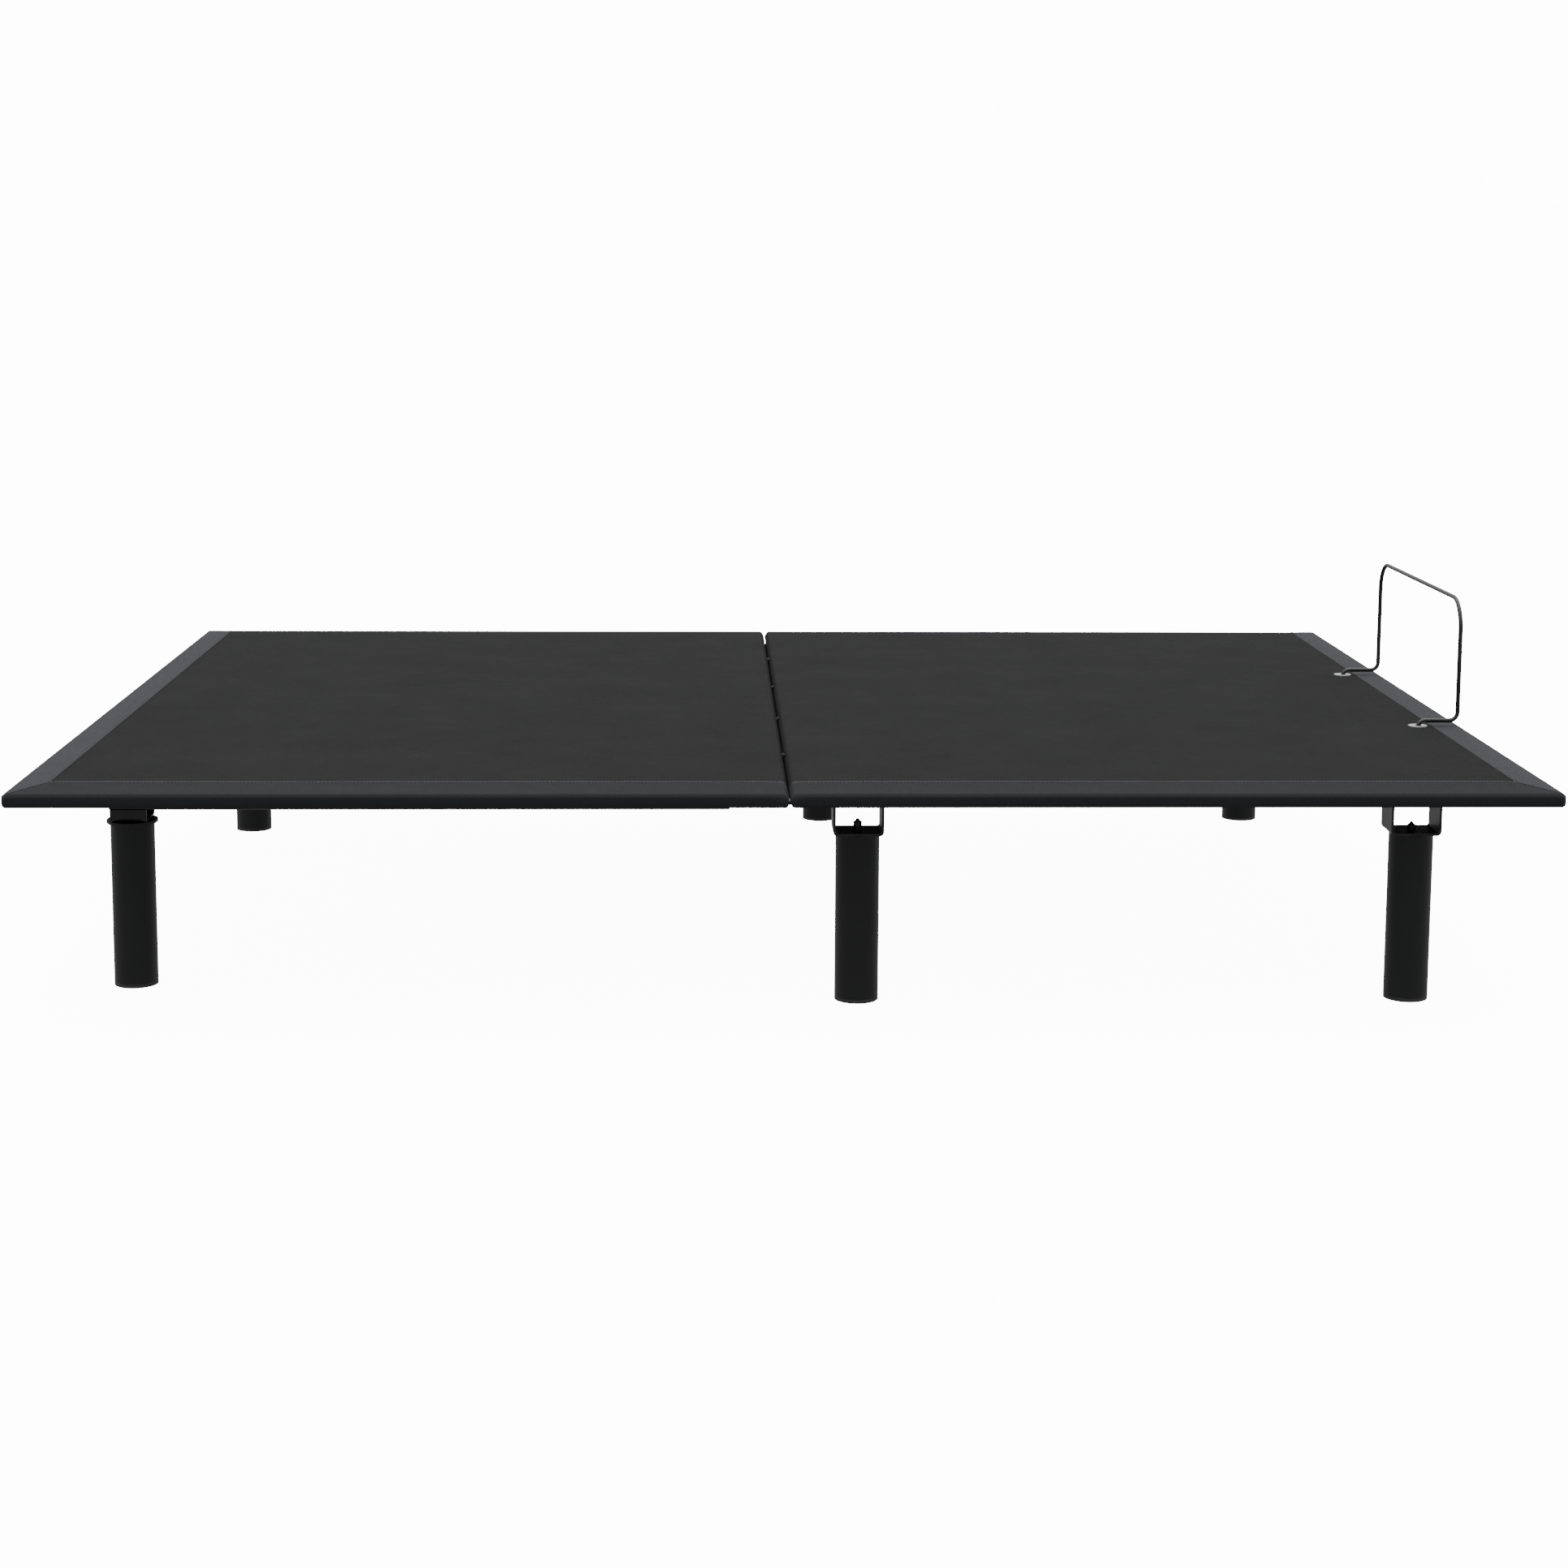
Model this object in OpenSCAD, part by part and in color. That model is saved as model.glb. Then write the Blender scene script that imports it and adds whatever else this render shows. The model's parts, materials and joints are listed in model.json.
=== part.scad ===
// Adjustable bed base: a fixed foot half and a head half that an electric actuator lifts.
// X runs along the bed with the head at -X, Y runs across it, and Z = 0 is the floor.

/* [Deck] */
// Length of the bed over both decks
bed_length = 2032; // [1900:1:2140]
// Width of the bed
bed_width = 1524; // [1500:1:1930]
// Height of the deck's top above the floor
deck_top = 316; // [316:1:340]
// Thickness of an upholstered deck
deck_thickness = 18; // [18:1:20]
// Thickness of the cover around a deck board
cover_thickness = 2.5; // [2:0.1:3]
// Gap between the two decks
split_gap = 5.5; // [5.5:0.1:8]
// Width of the border fabric along the near long side
front_border = 88; // [70:1:110]
// Width of the border fabric across the head end and the foot end
end_border = 43; // [30:1:55]
// Rounding of the outer edges
outer_edge_r = 5; // [4.5:0.5:8]
// Rounding of the two edges that face each other
split_edge_r = 8.5; // [8.5:0.1:8.9]

/* [Legs] */
// Diameter of a leg
leg_d = 60; // [50:1:64]
// Distance of the head legs from the middle of the bed
head_leg_x = 900; // [860:1:905]
// Distance of the middle legs from the middle of the bed
mid_leg_x = 97; // [97:1:120]
// Distance of the foot legs from the middle of the bed
foot_leg_x = 855; // [840:1:858]
// Sideways distance of the head legs from the centre line
head_leg_y = 515; // [510:1:520]
// Sideways distance of the other legs from the centre line
side_leg_y = 602; // [600:1:604]
// Height of the leg's top
leg_top = 232; // [228:1:233]

/* [Retainer bar] */
// Diameter of the bent rod
bar_d = 6.5; // [6:0.5:9]
// Height of the crossbar's centre above the deck's top
bar_height = 189; // [120:1:240]
// Distance between the centres of the two uprights
bar_width = 493; // [300:1:700]

/* [Lift] */
// Height of the deck hinge below the deck's top
hinge_drop = 10; // [10:0.5:10.5]
// Distance of the actuator's fixed pivot from the middle of the bed
pivot_x = -40; // [-42:1:-38]
// Height of the actuator's fixed pivot
pivot_z = 230; // [228:1:232]
// Distance of the lift pin from the middle of the bed
lift_x = -480; // [-484:1:-476]
// Height of the lift pin at rest
lift_z = 262; // [260:1:263]

/* [Hidden] */
$fn = 48;

half = bed_length / 2;
half_w = bed_width / 2;
deck_bottom = deck_top - deck_thickness;
deck_mid = deck_top - deck_thickness / 2;
split_x = split_gap / 2;
lip = 30;
eps = 1;

// Deck hinge
hinge_z = deck_top - hinge_drop;
hinge_stations = [-450, -150, 150, 450];
eye_r = 6;
hinge_pin_r = 3;
running = 0.05;
ear_t = 5;
knuckle_t = 4;
knuckle_y = ear_t / 2 + 0.5;
knuckle_gap = 0.5;
bush_r = 4.2;
pin_head_r = 4.6;
pin_head_t = 2;
pin_end_gap = 0.3;
ear_foot = 12;
ear_nose_x = 3;
ear_nose_z = 4;
pocket_half = knuckle_y + knuckle_t + 4;
pocket_top = hinge_z + eye_r + 0.6;
foot_pocket_x = 22;
head_pocket_x = 34;

// Head deck's own frame
sub_tube = 20;
sub_wall = 1.8;
sub_bottom = deck_bottom - sub_tube;
sub_y = 610;
sub_hinge_x = -42;
sub_head_x = -920;

// Outer corner radius of the square steel tubes
tube_corner_r = 3;

// Fixed frame
rail_w = 25;
rail_h = 25;
rail_wall = 2;
head_rail_top = sub_bottom - 2;
head_rail_bottom = head_rail_top - rail_h;
head_rail_out = 544;
head_rail_in = head_rail_out - rail_w;
head_rail_start = -926;
head_rail_end = -76;
head_cross_x = -901;
foot_rail_w = 40;
foot_rail_h = 24;
foot_rail_bottom = deck_bottom - foot_rail_h;
foot_rail_start = 47;
foot_rail_end = 997;
foot_cross_w = 25;
foot_cross_at = [47, 500, 972];
beam_x = 18;
beam_w = 26;
beam_bottom = head_rail_bottom + 1;
beam_top = deck_bottom - 2;
fold_plate_t = 5;
fold_plate_start = -140;
fold_plate_end = 42;
fold_bottom = 254;
fold_top = foot_rail_bottom;
fold_ear_start = -32;
fold_ear_end = 72;
fold_bolt_x = [-20, 2];
fold_bolt_z = 264.5;
fold_gap = 0.5;

// M8 fasteners
m8_r = 4;
m8_hole_r = 4.4;
m8_nut_r = 7.5;
m8_nut_t = 6.5;
m8_head_t = 5;
fold_bolt_l = 22;
thread_r = 4.05;

// Leg brackets
strap_t = 3.5;
strap_bend_r = 6.5;
strap_w = 69;
strap_depth = 57;
head_strap_w = 50;
leg_wall = 2.5;
leg_plate_t = 4;
glide_t = 5;
plug_h = 14;
plug_gap = 0.1;
flange_d = 70;
flange_t = 4;
head_leg_top = leg_top - 3;
flange_top = head_leg_top + flange_t;
stud_top = leg_top + 18;
stud_head_r = 7;
stud_head_t = 5;

// Deck screws
screw_r = 3;
screw_hole_r = 3.2;
screw_head_r = 6;
screw_head_t = 4;
screw_bite = 9;
head_screw_x = [-880, -500, -120];
foot_screw_x = [180, 560, 950];

// Headboard holes in the head cross tube
headboard_hole_r = 4.5;
headboard_hole_y = [210, 270];

// Retainer bar
bar_r = bar_d / 2;
bar_y = bar_width / 2;
bar_foot_x = half - 64;
bar_post_x = half - 5;
bar_bend = 12;
bar_corner = 45;
bar_run_z = deck_top + 9;
bar_end_z = deck_bottom - 12;
bar_top_z = deck_top + bar_height;
bar_hole_r = 5;
bar_washer_r = 14;
bar_washer_t = 1.5;

// Actuator: lengths are measured along it from the fixed pivot
lift_dx = pivot_x - lift_x;
lift_dz = lift_z - pivot_z;
actuator_length = sqrt(lift_dx * lift_dx + lift_dz * lift_dz);
actuator_tilt = atan2(lift_dz, lift_dx);
clevis_pin_r = 5;
clevis_in = 12;
clevis_t = 5;
clevis_head_r = 7.5;
clevis_head_t = 3;
clevis_eye_r = 12;
clevis_depth = 14;
gearbox_start = 22;
gearbox_end = 84;
gearbox_half_y = 29;
gearbox_up = 24;
gearbox_down = 68;
gearbox_wall = 3.5;
motor_r = 22;
motor_drop = 42;
motor_end = 190;
tube_r = 18;
tube_bore_r = 15.5;
tube_end = 300;
gland_end = 310;
gland_r = 20;
rod_r = 12;
rod_bore_r = 8.5;
rod_start = 130;
rod_bore_end = 395;
rod_eye_r = 11;
nut_start = 108;
screw_shaft_r = 7;
screw_shaft_start = 36;
screw_shaft_end = 290;
worm_wheel_r = 18;
worm_wheel_at = 46;
worm_wheel_t = 16;
bearing_t = 10;
slide_gap = 0.1;

// Slotted clevis on the head deck
slot_half_w = 6;
slot_up = 0.6;
slot_down = 13.2;
lift_plate_w = 34;
lift_plate_bottom = 236;

// Control box
box_x = 180;
box_l = 150;
box_w = 120;
box_h = 30;
box_wall = 2.5;
box_lid_t = 6;
box_flange = 12;
board_l = 118;
board_gap = 8;
board_t = 1.6;
socket_r = 6;
socket_out = 4;
socket_l = 18;
socket_wall = 2;
socket_floor = 7;
socket_y = [-30, 30];

// Buffers between the head deck's frame and the fixed rails
buffer_r = 8;
buffer_t = 1.7;
buffer_x = [-910, -480];

// ---------- shared shapes ----------

// Round-cornered ring: a w by h tube's cross-section, centred on X and standing on Y = 0
module tube_section(w, h, wall) {
    r_in = tube_corner_r - wall / 2;
    difference() {
        rounded_box_2d(-w / 2, w / 2, 0, h, tube_corner_r, tube_corner_r);
        rounded_box_2d(wall - w / 2, w / 2 - wall, wall, h - wall, r_in, r_in);
    }
}

// Square tube along X from x0 to x1, centred on y, standing on z0
module tube_x(x0, x1, y, z0, w, h, wall) {
    translate([x0, y, z0]) rotate([90, 0, 90]) linear_extrude(x1 - x0) tube_section(w, h, wall);
}

// Square tube along Y, centred on the bed, from x0 and z0
module tube_y(x0, z0, w, h, length, wall) {
    translate([x0 + w / 2, length / 2, z0]) rotate([90, 0, 0])
        linear_extrude(length) tube_section(w, h, wall);
}

// Round bar along Y between two Y values, at x and z
module bar_along_y(x, z, y0, y1, r) {
    translate([x, y1, z]) rotate([90, 0, 0]) cylinder(r = r, h = y1 - y0);
}

// Flat plate in the XZ plane between two Y values
module plate_xz(y0, y1) {
    translate([0, y1, 0]) rotate([90, 0, 0]) linear_extrude(y1 - y0) children();
}

// Both sides of the bed: the front one as drawn at -Y, and its mirror image
module both_sides() {
    children();
    mirror([0, 1, 0]) children();
}

module rounded_box_2d(x0, x1, y0, y1, r0, r1) {
    translate([x0 + r0, y0]) square([x1 - x0 - r0 - r1, y1 - y0]);
    translate([x0, y0 + r0]) square([r0 + eps, y1 - y0 - 2 * r0]);
    translate([x1 - r1 - eps, y0 + r1]) square([r1 + eps, y1 - y0 - 2 * r1]);
    for (y = [y0 + r0, y1 - r0]) translate([x0 + r0, y]) circle(r = r0);
    for (y = [y0 + r1, y1 - r1]) translate([x1 - r1, y]) circle(r = r1);
}

module m8_nut(t, hole_r = thread_r) {
    difference() {
        cylinder(r = m8_nut_r, h = t, $fn = 6);
        translate([0, 0, -eps]) cylinder(r = hole_r, h = t + 2 * eps);
    }
}

// ---------- deck halves ----------

// Foot half of the deck, drawn in by inset on every side
module deck_form(inset) {
    z0 = deck_bottom + inset;
    z1 = deck_top - inset;
    w = half_w - inset;
    r_out = outer_edge_r - inset;
    r_split = split_edge_r - inset;
    intersection() {
        translate([0, half_w, 0]) rotate([90, 0, 0]) linear_extrude(bed_width)
            rounded_box_2d(split_x + inset, half - inset, z0, z1, r_split, r_out);
        rotate([90, 0, 90]) linear_extrude(half) rounded_box_2d(-w, w, z0, z1, r_out, r_out);
    }
}

module deck_shell() {
    difference() {
        deck_form(0);
        deck_form(cover_thickness);
    }
}

// Where the dark top fabric lies: the top, over the far edge, and round the split edge to a lip beneath
module top_region() {
    y0 = front_border - half_w;
    w = bed_width - front_border + eps;
    translate([0, y0, deck_mid]) cube([half - end_border, w, deck_thickness]);
    translate([0, y0, deck_bottom - eps]) cube([lip, w, deck_thickness + 2 * eps]);
}

// Where the dust cover lies: beneath, inside a lip of wrapped fabric
module dust_region() {
    w = bed_width - 2 * lip;
    translate([lip, -w / 2, deck_bottom - eps]) cube([half - 2 * lip, w, deck_thickness / 2]);
}

// Pockets for the deck hinges, cut from beneath along the split edge
module hinge_pockets(depth) {
    for (y = hinge_stations)
        translate([0, y - pocket_half, deck_bottom - eps])
            cube([depth, 2 * pocket_half, pocket_top - deck_bottom + eps]);
}

module foot_holes() {
    for (y = [-bar_y, bar_y]) translate([bar_foot_x, y, deck_bottom - eps])
        cylinder(r = bar_hole_r, h = deck_thickness + 2 * eps);
    for (x = foot_screw_x, y = [-side_leg_y, side_leg_y]) translate([x, y, deck_bottom - eps])
        cylinder(r = screw_hole_r, h = screw_bite + 2 * eps);
}

// The head half's screw holes, drawn mirrored because the head half is the foot half's mirror image
module head_holes() {
    for (x = head_screw_x, y = [-sub_y, sub_y]) translate([-x, y, deck_bottom - eps])
        cylinder(r = screw_hole_r, h = screw_bite + 2 * eps);
}

module deck_board(depth) {
    difference() {
        deck_form(cover_thickness);
        hinge_pockets(depth);
        children();
    }
}

module deck_border_wrap() {
    difference() {
        deck_shell();
        top_region();
        dust_region();
    }
}

module deck_top_fabric(depth) {
    difference() {
        intersection() {
            deck_shell();
            top_region();
        }
        hinge_pockets(depth);
        children();
    }
}

module deck_dust_cover(depth) {
    difference() {
        intersection() {
            deck_shell();
            dust_region();
        }
        hinge_pockets(depth);
        children();
    }
}

module foot_deck_board() { color("burlywood") deck_board(foot_pocket_x) foot_holes(); }
module foot_deck_border_wrap() { color("slategray") deck_border_wrap(); }
module foot_deck_top_fabric() { color("dimgray") deck_top_fabric(foot_pocket_x) foot_holes(); }
module foot_deck_dust_cover() { color("black") deck_dust_cover(foot_pocket_x) foot_holes(); }

// The head half is the foot half's mirror image, with deeper hinge pockets and its own screw holes
module at_head() { mirror([1, 0, 0]) children(); }

module head_deck_board() { color("burlywood") at_head() deck_board(head_pocket_x) head_holes(); }
module head_deck_border_wrap() { color("slategray") at_head() deck_border_wrap(); }
module head_deck_top_fabric() { color("dimgray") at_head() deck_top_fabric(head_pocket_x) head_holes(); }
module head_deck_dust_cover() { color("black") at_head() deck_dust_cover(head_pocket_x) head_holes(); }

// Screw from beneath: its head under z, its shank into the board
module deck_screw(z) {
    translate([0, 0, z - screw_head_t]) cylinder(r = screw_head_r, h = screw_head_t);
    translate([0, 0, z - eps]) cylinder(r = screw_r, h = deck_bottom + screw_bite - z + eps);
}

module foot_deck_screws() {
    color("silver") for (x = foot_screw_x, y = [-side_leg_y, side_leg_y])
        translate([x, y, 0]) deck_screw(foot_rail_bottom);
}

module head_deck_screws() {
    color("silver") for (x = head_screw_x, y = [-sub_y, sub_y])
        translate([x, y, 0]) deck_screw(sub_bottom);
}

// ---------- fixed frame ----------

module head_side_rail() {
    y = -(head_rail_in + rail_w / 2);
    tube_x(head_rail_start, head_rail_end, y, head_rail_bottom, rail_w, rail_h, rail_wall);
}

module head_side_rail_front() { color("black") head_side_rail(); }
module head_side_rail_rear() { color("black") mirror([0, 1, 0]) head_side_rail(); }

module head_cross_tube() {
    color("black") difference() {
        tube_y(head_cross_x - rail_w / 2, head_rail_bottom, rail_w, rail_h, 2 * head_rail_in, rail_wall);
        for (s = [-1, 1], y = headboard_hole_y)
            translate([head_cross_x - rail_w, s * y, head_rail_bottom + rail_h / 2])
                rotate([0, 90, 0]) cylinder(r = headboard_hole_r, h = rail_w);
    }
}

// Plates on the inner faces of the head rails that reach past the middle of the bed
module fold_plates() {
    y1 = head_rail_in;
    color("black") both_sides() difference() {
        translate([fold_plate_start, -y1, fold_bottom])
            cube([fold_plate_end - fold_plate_start, fold_plate_t, fold_top - fold_bottom]);
        for (x = fold_bolt_x) bar_along_y(x, fold_bolt_z, -y1 - eps, eps - y1 + fold_plate_t, thread_r);
    }
}

// Matching ears on the foot frame, outside the fold plates
module fold_ears() {
    y1 = head_rail_in + fold_gap;
    color("black") both_sides() difference() {
        translate([fold_ear_start, -y1 - fold_plate_t, fold_bottom])
            cube([fold_ear_end - fold_ear_start, fold_plate_t, fold_top - fold_bottom]);
        for (x = fold_bolt_x) bar_along_y(x, fold_bolt_z, -y1 - fold_plate_t - eps, eps - y1, thread_r);
    }
}

module fold_bolts() {
    y1 = head_rail_in + fold_gap + fold_plate_t;
    color("silver") both_sides() for (x = fold_bolt_x) {
        bar_along_y(x, fold_bolt_z, -y1 - eps, fold_bolt_l - y1, m8_r);
        translate([x, -y1, fold_bolt_z]) rotate([90, 0, 0])
            cylinder(r = m8_nut_r, h = m8_head_t, $fn = 6);
    }
}

module fold_nuts() {
    y1 = head_rail_in - fold_plate_t;
    color("silver") both_sides() for (x = fold_bolt_x)
        translate([x, m8_nut_t - y1, fold_bolt_z]) rotate([90, 0, 0]) m8_nut(m8_nut_t);
}

// Crossbar at the split, between the fold plates, that carries the deck hinges and the actuator
module hinge_beam() {
    h = beam_top - beam_bottom;
    length = 2 * (head_rail_in - fold_plate_t);
    color("black") tube_y(beam_x, beam_bottom, beam_w, h, length, rail_wall);
}

// Ear on the hinge beam, narrowing up to its eye; the outline's last three points lie on the eye
module hinge_ears() {
    color("black") for (y = hinge_stations) plate_xz(y - ear_t / 2, y + ear_t / 2) difference() {
        union() {
            translate([0, hinge_z]) circle(r = eye_r);
            polygon([[beam_x, beam_bottom + ear_foot], [beam_x, beam_top],
                [beam_x - ear_nose_x, beam_top + ear_nose_z],
                [4.2, hinge_z + 4.3], [-5.9, hinge_z - 1], [-4.5, hinge_z - 4]]);
        }
        translate([0, hinge_z]) circle(r = hinge_pin_r + running);
    }
}

module hinge_pins() {
    reach = knuckle_y + knuckle_t + pin_end_gap;
    color("silver") for (y = hinge_stations) {
        bar_along_y(0, hinge_z, y - reach - pin_head_t, y + reach + pin_head_t, hinge_pin_r);
        bar_along_y(0, hinge_z, y - reach - pin_head_t, y - reach, pin_head_r);
        bar_along_y(0, hinge_z, y + reach, y + reach + pin_head_t, pin_head_r);
    }
}

// Two plates under the hinge beam that hold the actuator's fixed end, tangent to its eye
module fixed_clevis() {
    end_x = beam_x + beam_w;
    color("black") both_sides() plate_xz(-clevis_in - clevis_t, -clevis_in) difference() {
        union() {
            translate([pivot_x, pivot_z]) circle(r = clevis_eye_r);
            polygon([[end_x, beam_bottom], [beam_x, beam_bottom], [pivot_x - 3, pivot_z + 11.6],
                [pivot_x + 3, pivot_z - 11.6], [end_x, beam_bottom - clevis_depth]]);
        }
        translate([pivot_x, pivot_z]) circle(r = clevis_pin_r + running);
    }
}

// Pin with a head at each end, across a clevis
module clevis_pin(x, z) {
    reach = clevis_in + clevis_t + pin_end_gap;
    bar_along_y(x, z, -reach - clevis_head_t, reach + clevis_head_t, clevis_pin_r);
    bar_along_y(x, z, -reach - clevis_head_t, -reach, clevis_head_r);
    bar_along_y(x, z, reach, reach + clevis_head_t, clevis_head_r);
}

module pivot_pin() { color("silver") clevis_pin(pivot_x, pivot_z); }

module foot_side_rail() {
    y = -side_leg_y;
    z = foot_rail_bottom;
    difference() {
        tube_x(foot_rail_start, foot_rail_end, y, z, foot_rail_w, foot_rail_h, rail_wall);
        for (x = foot_screw_x) translate([x, y, z - eps])
            cylinder(r = screw_hole_r, h = foot_rail_h + 2 * eps);
    }
}

module foot_side_rail_front() { color("black") foot_side_rail(); }
module foot_side_rail_rear() { color("black") mirror([0, 1, 0]) foot_side_rail(); }

module foot_cross_tubes() {
    color("black") for (x = foot_cross_at)
        tube_y(x, foot_rail_bottom, foot_cross_w, foot_rail_h, 2 * side_leg_y - foot_rail_w, rail_wall);
}

// ---------- legs and brackets ----------

// Strap bent into a U that hangs from the frame: w across, depth deep, from the leg's top to z1
module u_strap(w, depth, z0, z1) {
    r_in = strap_bend_r - strap_t;
    difference() {
        translate([0, depth / 2, z0]) rotate([90, 0, 0]) linear_extrude(depth) difference() {
            union() {
                rounded_box_2d(-w / 2, w / 2, 0, 2 * strap_bend_r + eps, strap_bend_r, strap_bend_r);
                translate([-w / 2, strap_bend_r]) square([w, z1 - z0 - strap_bend_r]);
            }
            translate([strap_t + r_in - w / 2, strap_t]) square([w - 2 * strap_bend_r, z1]);
            translate([strap_t - w / 2, strap_bend_r]) square([w - 2 * strap_t, z1]);
            for (s = [-1, 1]) translate([s * (w / 2 - strap_bend_r), strap_bend_r]) circle(r = r_in);
        }
        translate([0, 0, z0 - eps]) cylinder(r = m8_hole_r, h = strap_t + 2 * eps);
    }
}

module head_leg_brackets() {
    w = 2 * (head_rail_out - head_leg_y);
    color("black") both_sides() translate([-head_leg_x, -head_leg_y, 0])
        rotate([0, 0, 90]) u_strap(w, head_strap_w, flange_top, head_rail_bottom);
}

module side_leg_brackets(x) {
    both_sides() translate([x, -side_leg_y, 0]) u_strap(strap_w, strap_depth, leg_top, foot_rail_bottom);
}

module mid_leg_brackets() { color("black") side_leg_brackets(mid_leg_x); }
module foot_leg_brackets() { color("black") side_leg_brackets(foot_leg_x); }

// Round tube closed by a plate at the top; the glide plugs its lower end
module leg(x, y, top) {
    bore_d = leg_d - 2 * leg_wall;
    bore_h = top - glide_t - leg_plate_t;
    translate([x, y, 0]) difference() {
        translate([0, 0, glide_t]) cylinder(d = leg_d, h = top - glide_t, $fn = 64);
        translate([0, 0, glide_t - eps]) cylinder(d = bore_d, h = bore_h + eps, $fn = 64);
        translate([0, 0, top - leg_plate_t - eps]) cylinder(r = thread_r, h = leg_plate_t + 2 * eps);
    }
}

module leg_head_front() { color("black") leg(-head_leg_x, -head_leg_y, head_leg_top); }
module leg_head_rear() { color("black") leg(-head_leg_x, head_leg_y, head_leg_top); }
module leg_mid_front() { color("black") leg(mid_leg_x, -side_leg_y, leg_top); }
module leg_mid_rear() { color("black") leg(mid_leg_x, side_leg_y, leg_top); }
module leg_foot_front() { color("black") leg(foot_leg_x, -side_leg_y, leg_top); }
module leg_foot_rear() { color("black") leg(foot_leg_x, side_leg_y, leg_top); }

// Round flange on top of each head leg
module leg_flanges() {
    color("black") both_sides() translate([-head_leg_x, -head_leg_y, head_leg_top]) difference() {
        cylinder(d = flange_d, h = flange_t, $fn = 64);
        translate([0, 0, -eps]) cylinder(r = thread_r, h = flange_t + 2 * eps);
    }
}

// Repeats its children at the foot of every leg
module at_legs() {
    both_sides() {
        translate([-head_leg_x, -head_leg_y, 0]) children();
        for (x = [mid_leg_x, foot_leg_x]) translate([x, -side_leg_y, 0]) children();
    }
}

module leg_stud(top) {
    translate([0, 0, top - leg_plate_t - stud_head_t]) cylinder(r = stud_head_r, h = stud_head_t);
    translate([0, 0, top - leg_plate_t - eps]) cylinder(r = m8_r, h = stud_top - top + leg_plate_t + eps);
}

module leg_studs() {
    color("silver") both_sides() {
        translate([-head_leg_x, -head_leg_y, 0]) leg_stud(head_leg_top);
        for (x = [mid_leg_x, foot_leg_x]) translate([x, -side_leg_y, 0]) leg_stud(leg_top);
    }
}

module leg_nuts() {
    color("silver") both_sides() {
        translate([-head_leg_x, -head_leg_y, flange_top + strap_t]) m8_nut(m8_nut_t);
        for (x = [mid_leg_x, foot_leg_x])
            translate([x, -side_leg_y, leg_top + strap_t]) m8_nut(m8_nut_t);
    }
}

module leg_glides() {
    plug_r = leg_d / 2 - leg_wall - plug_gap;
    color("black") at_legs() {
        cylinder(d = leg_d, h = glide_t, $fn = 64);
        translate([0, 0, glide_t - eps]) cylinder(r = plug_r, h = plug_h + eps, $fn = 64);
    }
}

module frame_buffers() {
    color("black") both_sides() for (x = buffer_x)
        translate([x, -(head_rail_in + rail_w / 2), head_rail_top]) cylinder(r = buffer_r, h = buffer_t);
}

// ---------- head deck's frame ----------

module head_deck_rails() {
    color("black") both_sides() difference() {
        tube_x(sub_head_x, sub_hinge_x, -sub_y, sub_bottom, sub_tube, sub_tube, sub_wall);
        for (x = head_screw_x) translate([x, -sub_y, sub_bottom - eps])
            cylinder(r = screw_hole_r, h = sub_tube + 2 * eps);
    }
}

module head_deck_cross_tubes() {
    color("black") for (x = [sub_head_x, lift_x - sub_tube / 2, sub_hinge_x - sub_tube])
        tube_y(x, sub_bottom, sub_tube, sub_tube, 2 * sub_y - sub_tube, sub_wall);
}

// Plates on both sides of every hinge ear, cut from one outline
module knuckle_plates() {
    for (y = hinge_stations, side = [knuckle_y, -knuckle_y - knuckle_t])
        plate_xz(y + side, y + side + knuckle_t) children();
}

// Knuckle that reaches from the head deck's frame through the pocket; its last two points lie on the eye
module hinge_knuckles() {
    z1 = deck_bottom - knuckle_gap;
    color("black") knuckle_plates() difference() {
        union() {
            translate([0, hinge_z]) circle(r = eye_r);
            polygon([[sub_hinge_x, sub_bottom + 2], [sub_hinge_x, z1], [1 - head_pocket_x, z1],
                [-3, hinge_z + 5.2], [2, hinge_z - 5.65]]);
        }
        translate([0, hinge_z]) circle(r = bush_r);
    }
}

module hinge_bushes() {
    color("dimgray") knuckle_plates() difference() {
        translate([0, hinge_z]) circle(r = bush_r);
        translate([0, hinge_z]) circle(r = hinge_pin_r + running);
    }
}

// Two slotted plates under the lift cross tube: the pin can push the deck up but never pull it down
module lift_clevis() {
    z_hi = lift_z + slot_up;
    z_lo = lift_z - slot_down;
    plate_h = sub_bottom - lift_plate_bottom;
    color("black") both_sides() plate_xz(-clevis_in - clevis_t, -clevis_in) difference() {
        translate([lift_x - lift_plate_w / 2, lift_plate_bottom]) square([lift_plate_w, plate_h]);
        translate([lift_x, z_hi]) circle(r = slot_half_w);
        translate([lift_x, z_lo]) circle(r = slot_half_w);
        translate([lift_x - slot_half_w, z_lo]) square([2 * slot_half_w, z_hi - z_lo]);
    }
}

// ---------- actuator ----------

// Places an actuator part: its own Z runs from the fixed pivot to the lift pin, its own X is up
module along_actuator() {
    translate([pivot_x, 0, pivot_z]) rotate([0, actuator_tilt - 90, 0]) children();
}

// Round eye across the actuator's end, with a neck towards the rest of the part
module actuator_eye(z, r, width, neck_to) {
    translate([0, width / 2, z]) rotate([90, 0, 0]) cylinder(r = r, h = width);
    translate([-r, -width / 2, min(z, neck_to)]) cube([2 * r, width, abs(neck_to - z)]);
}

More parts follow.
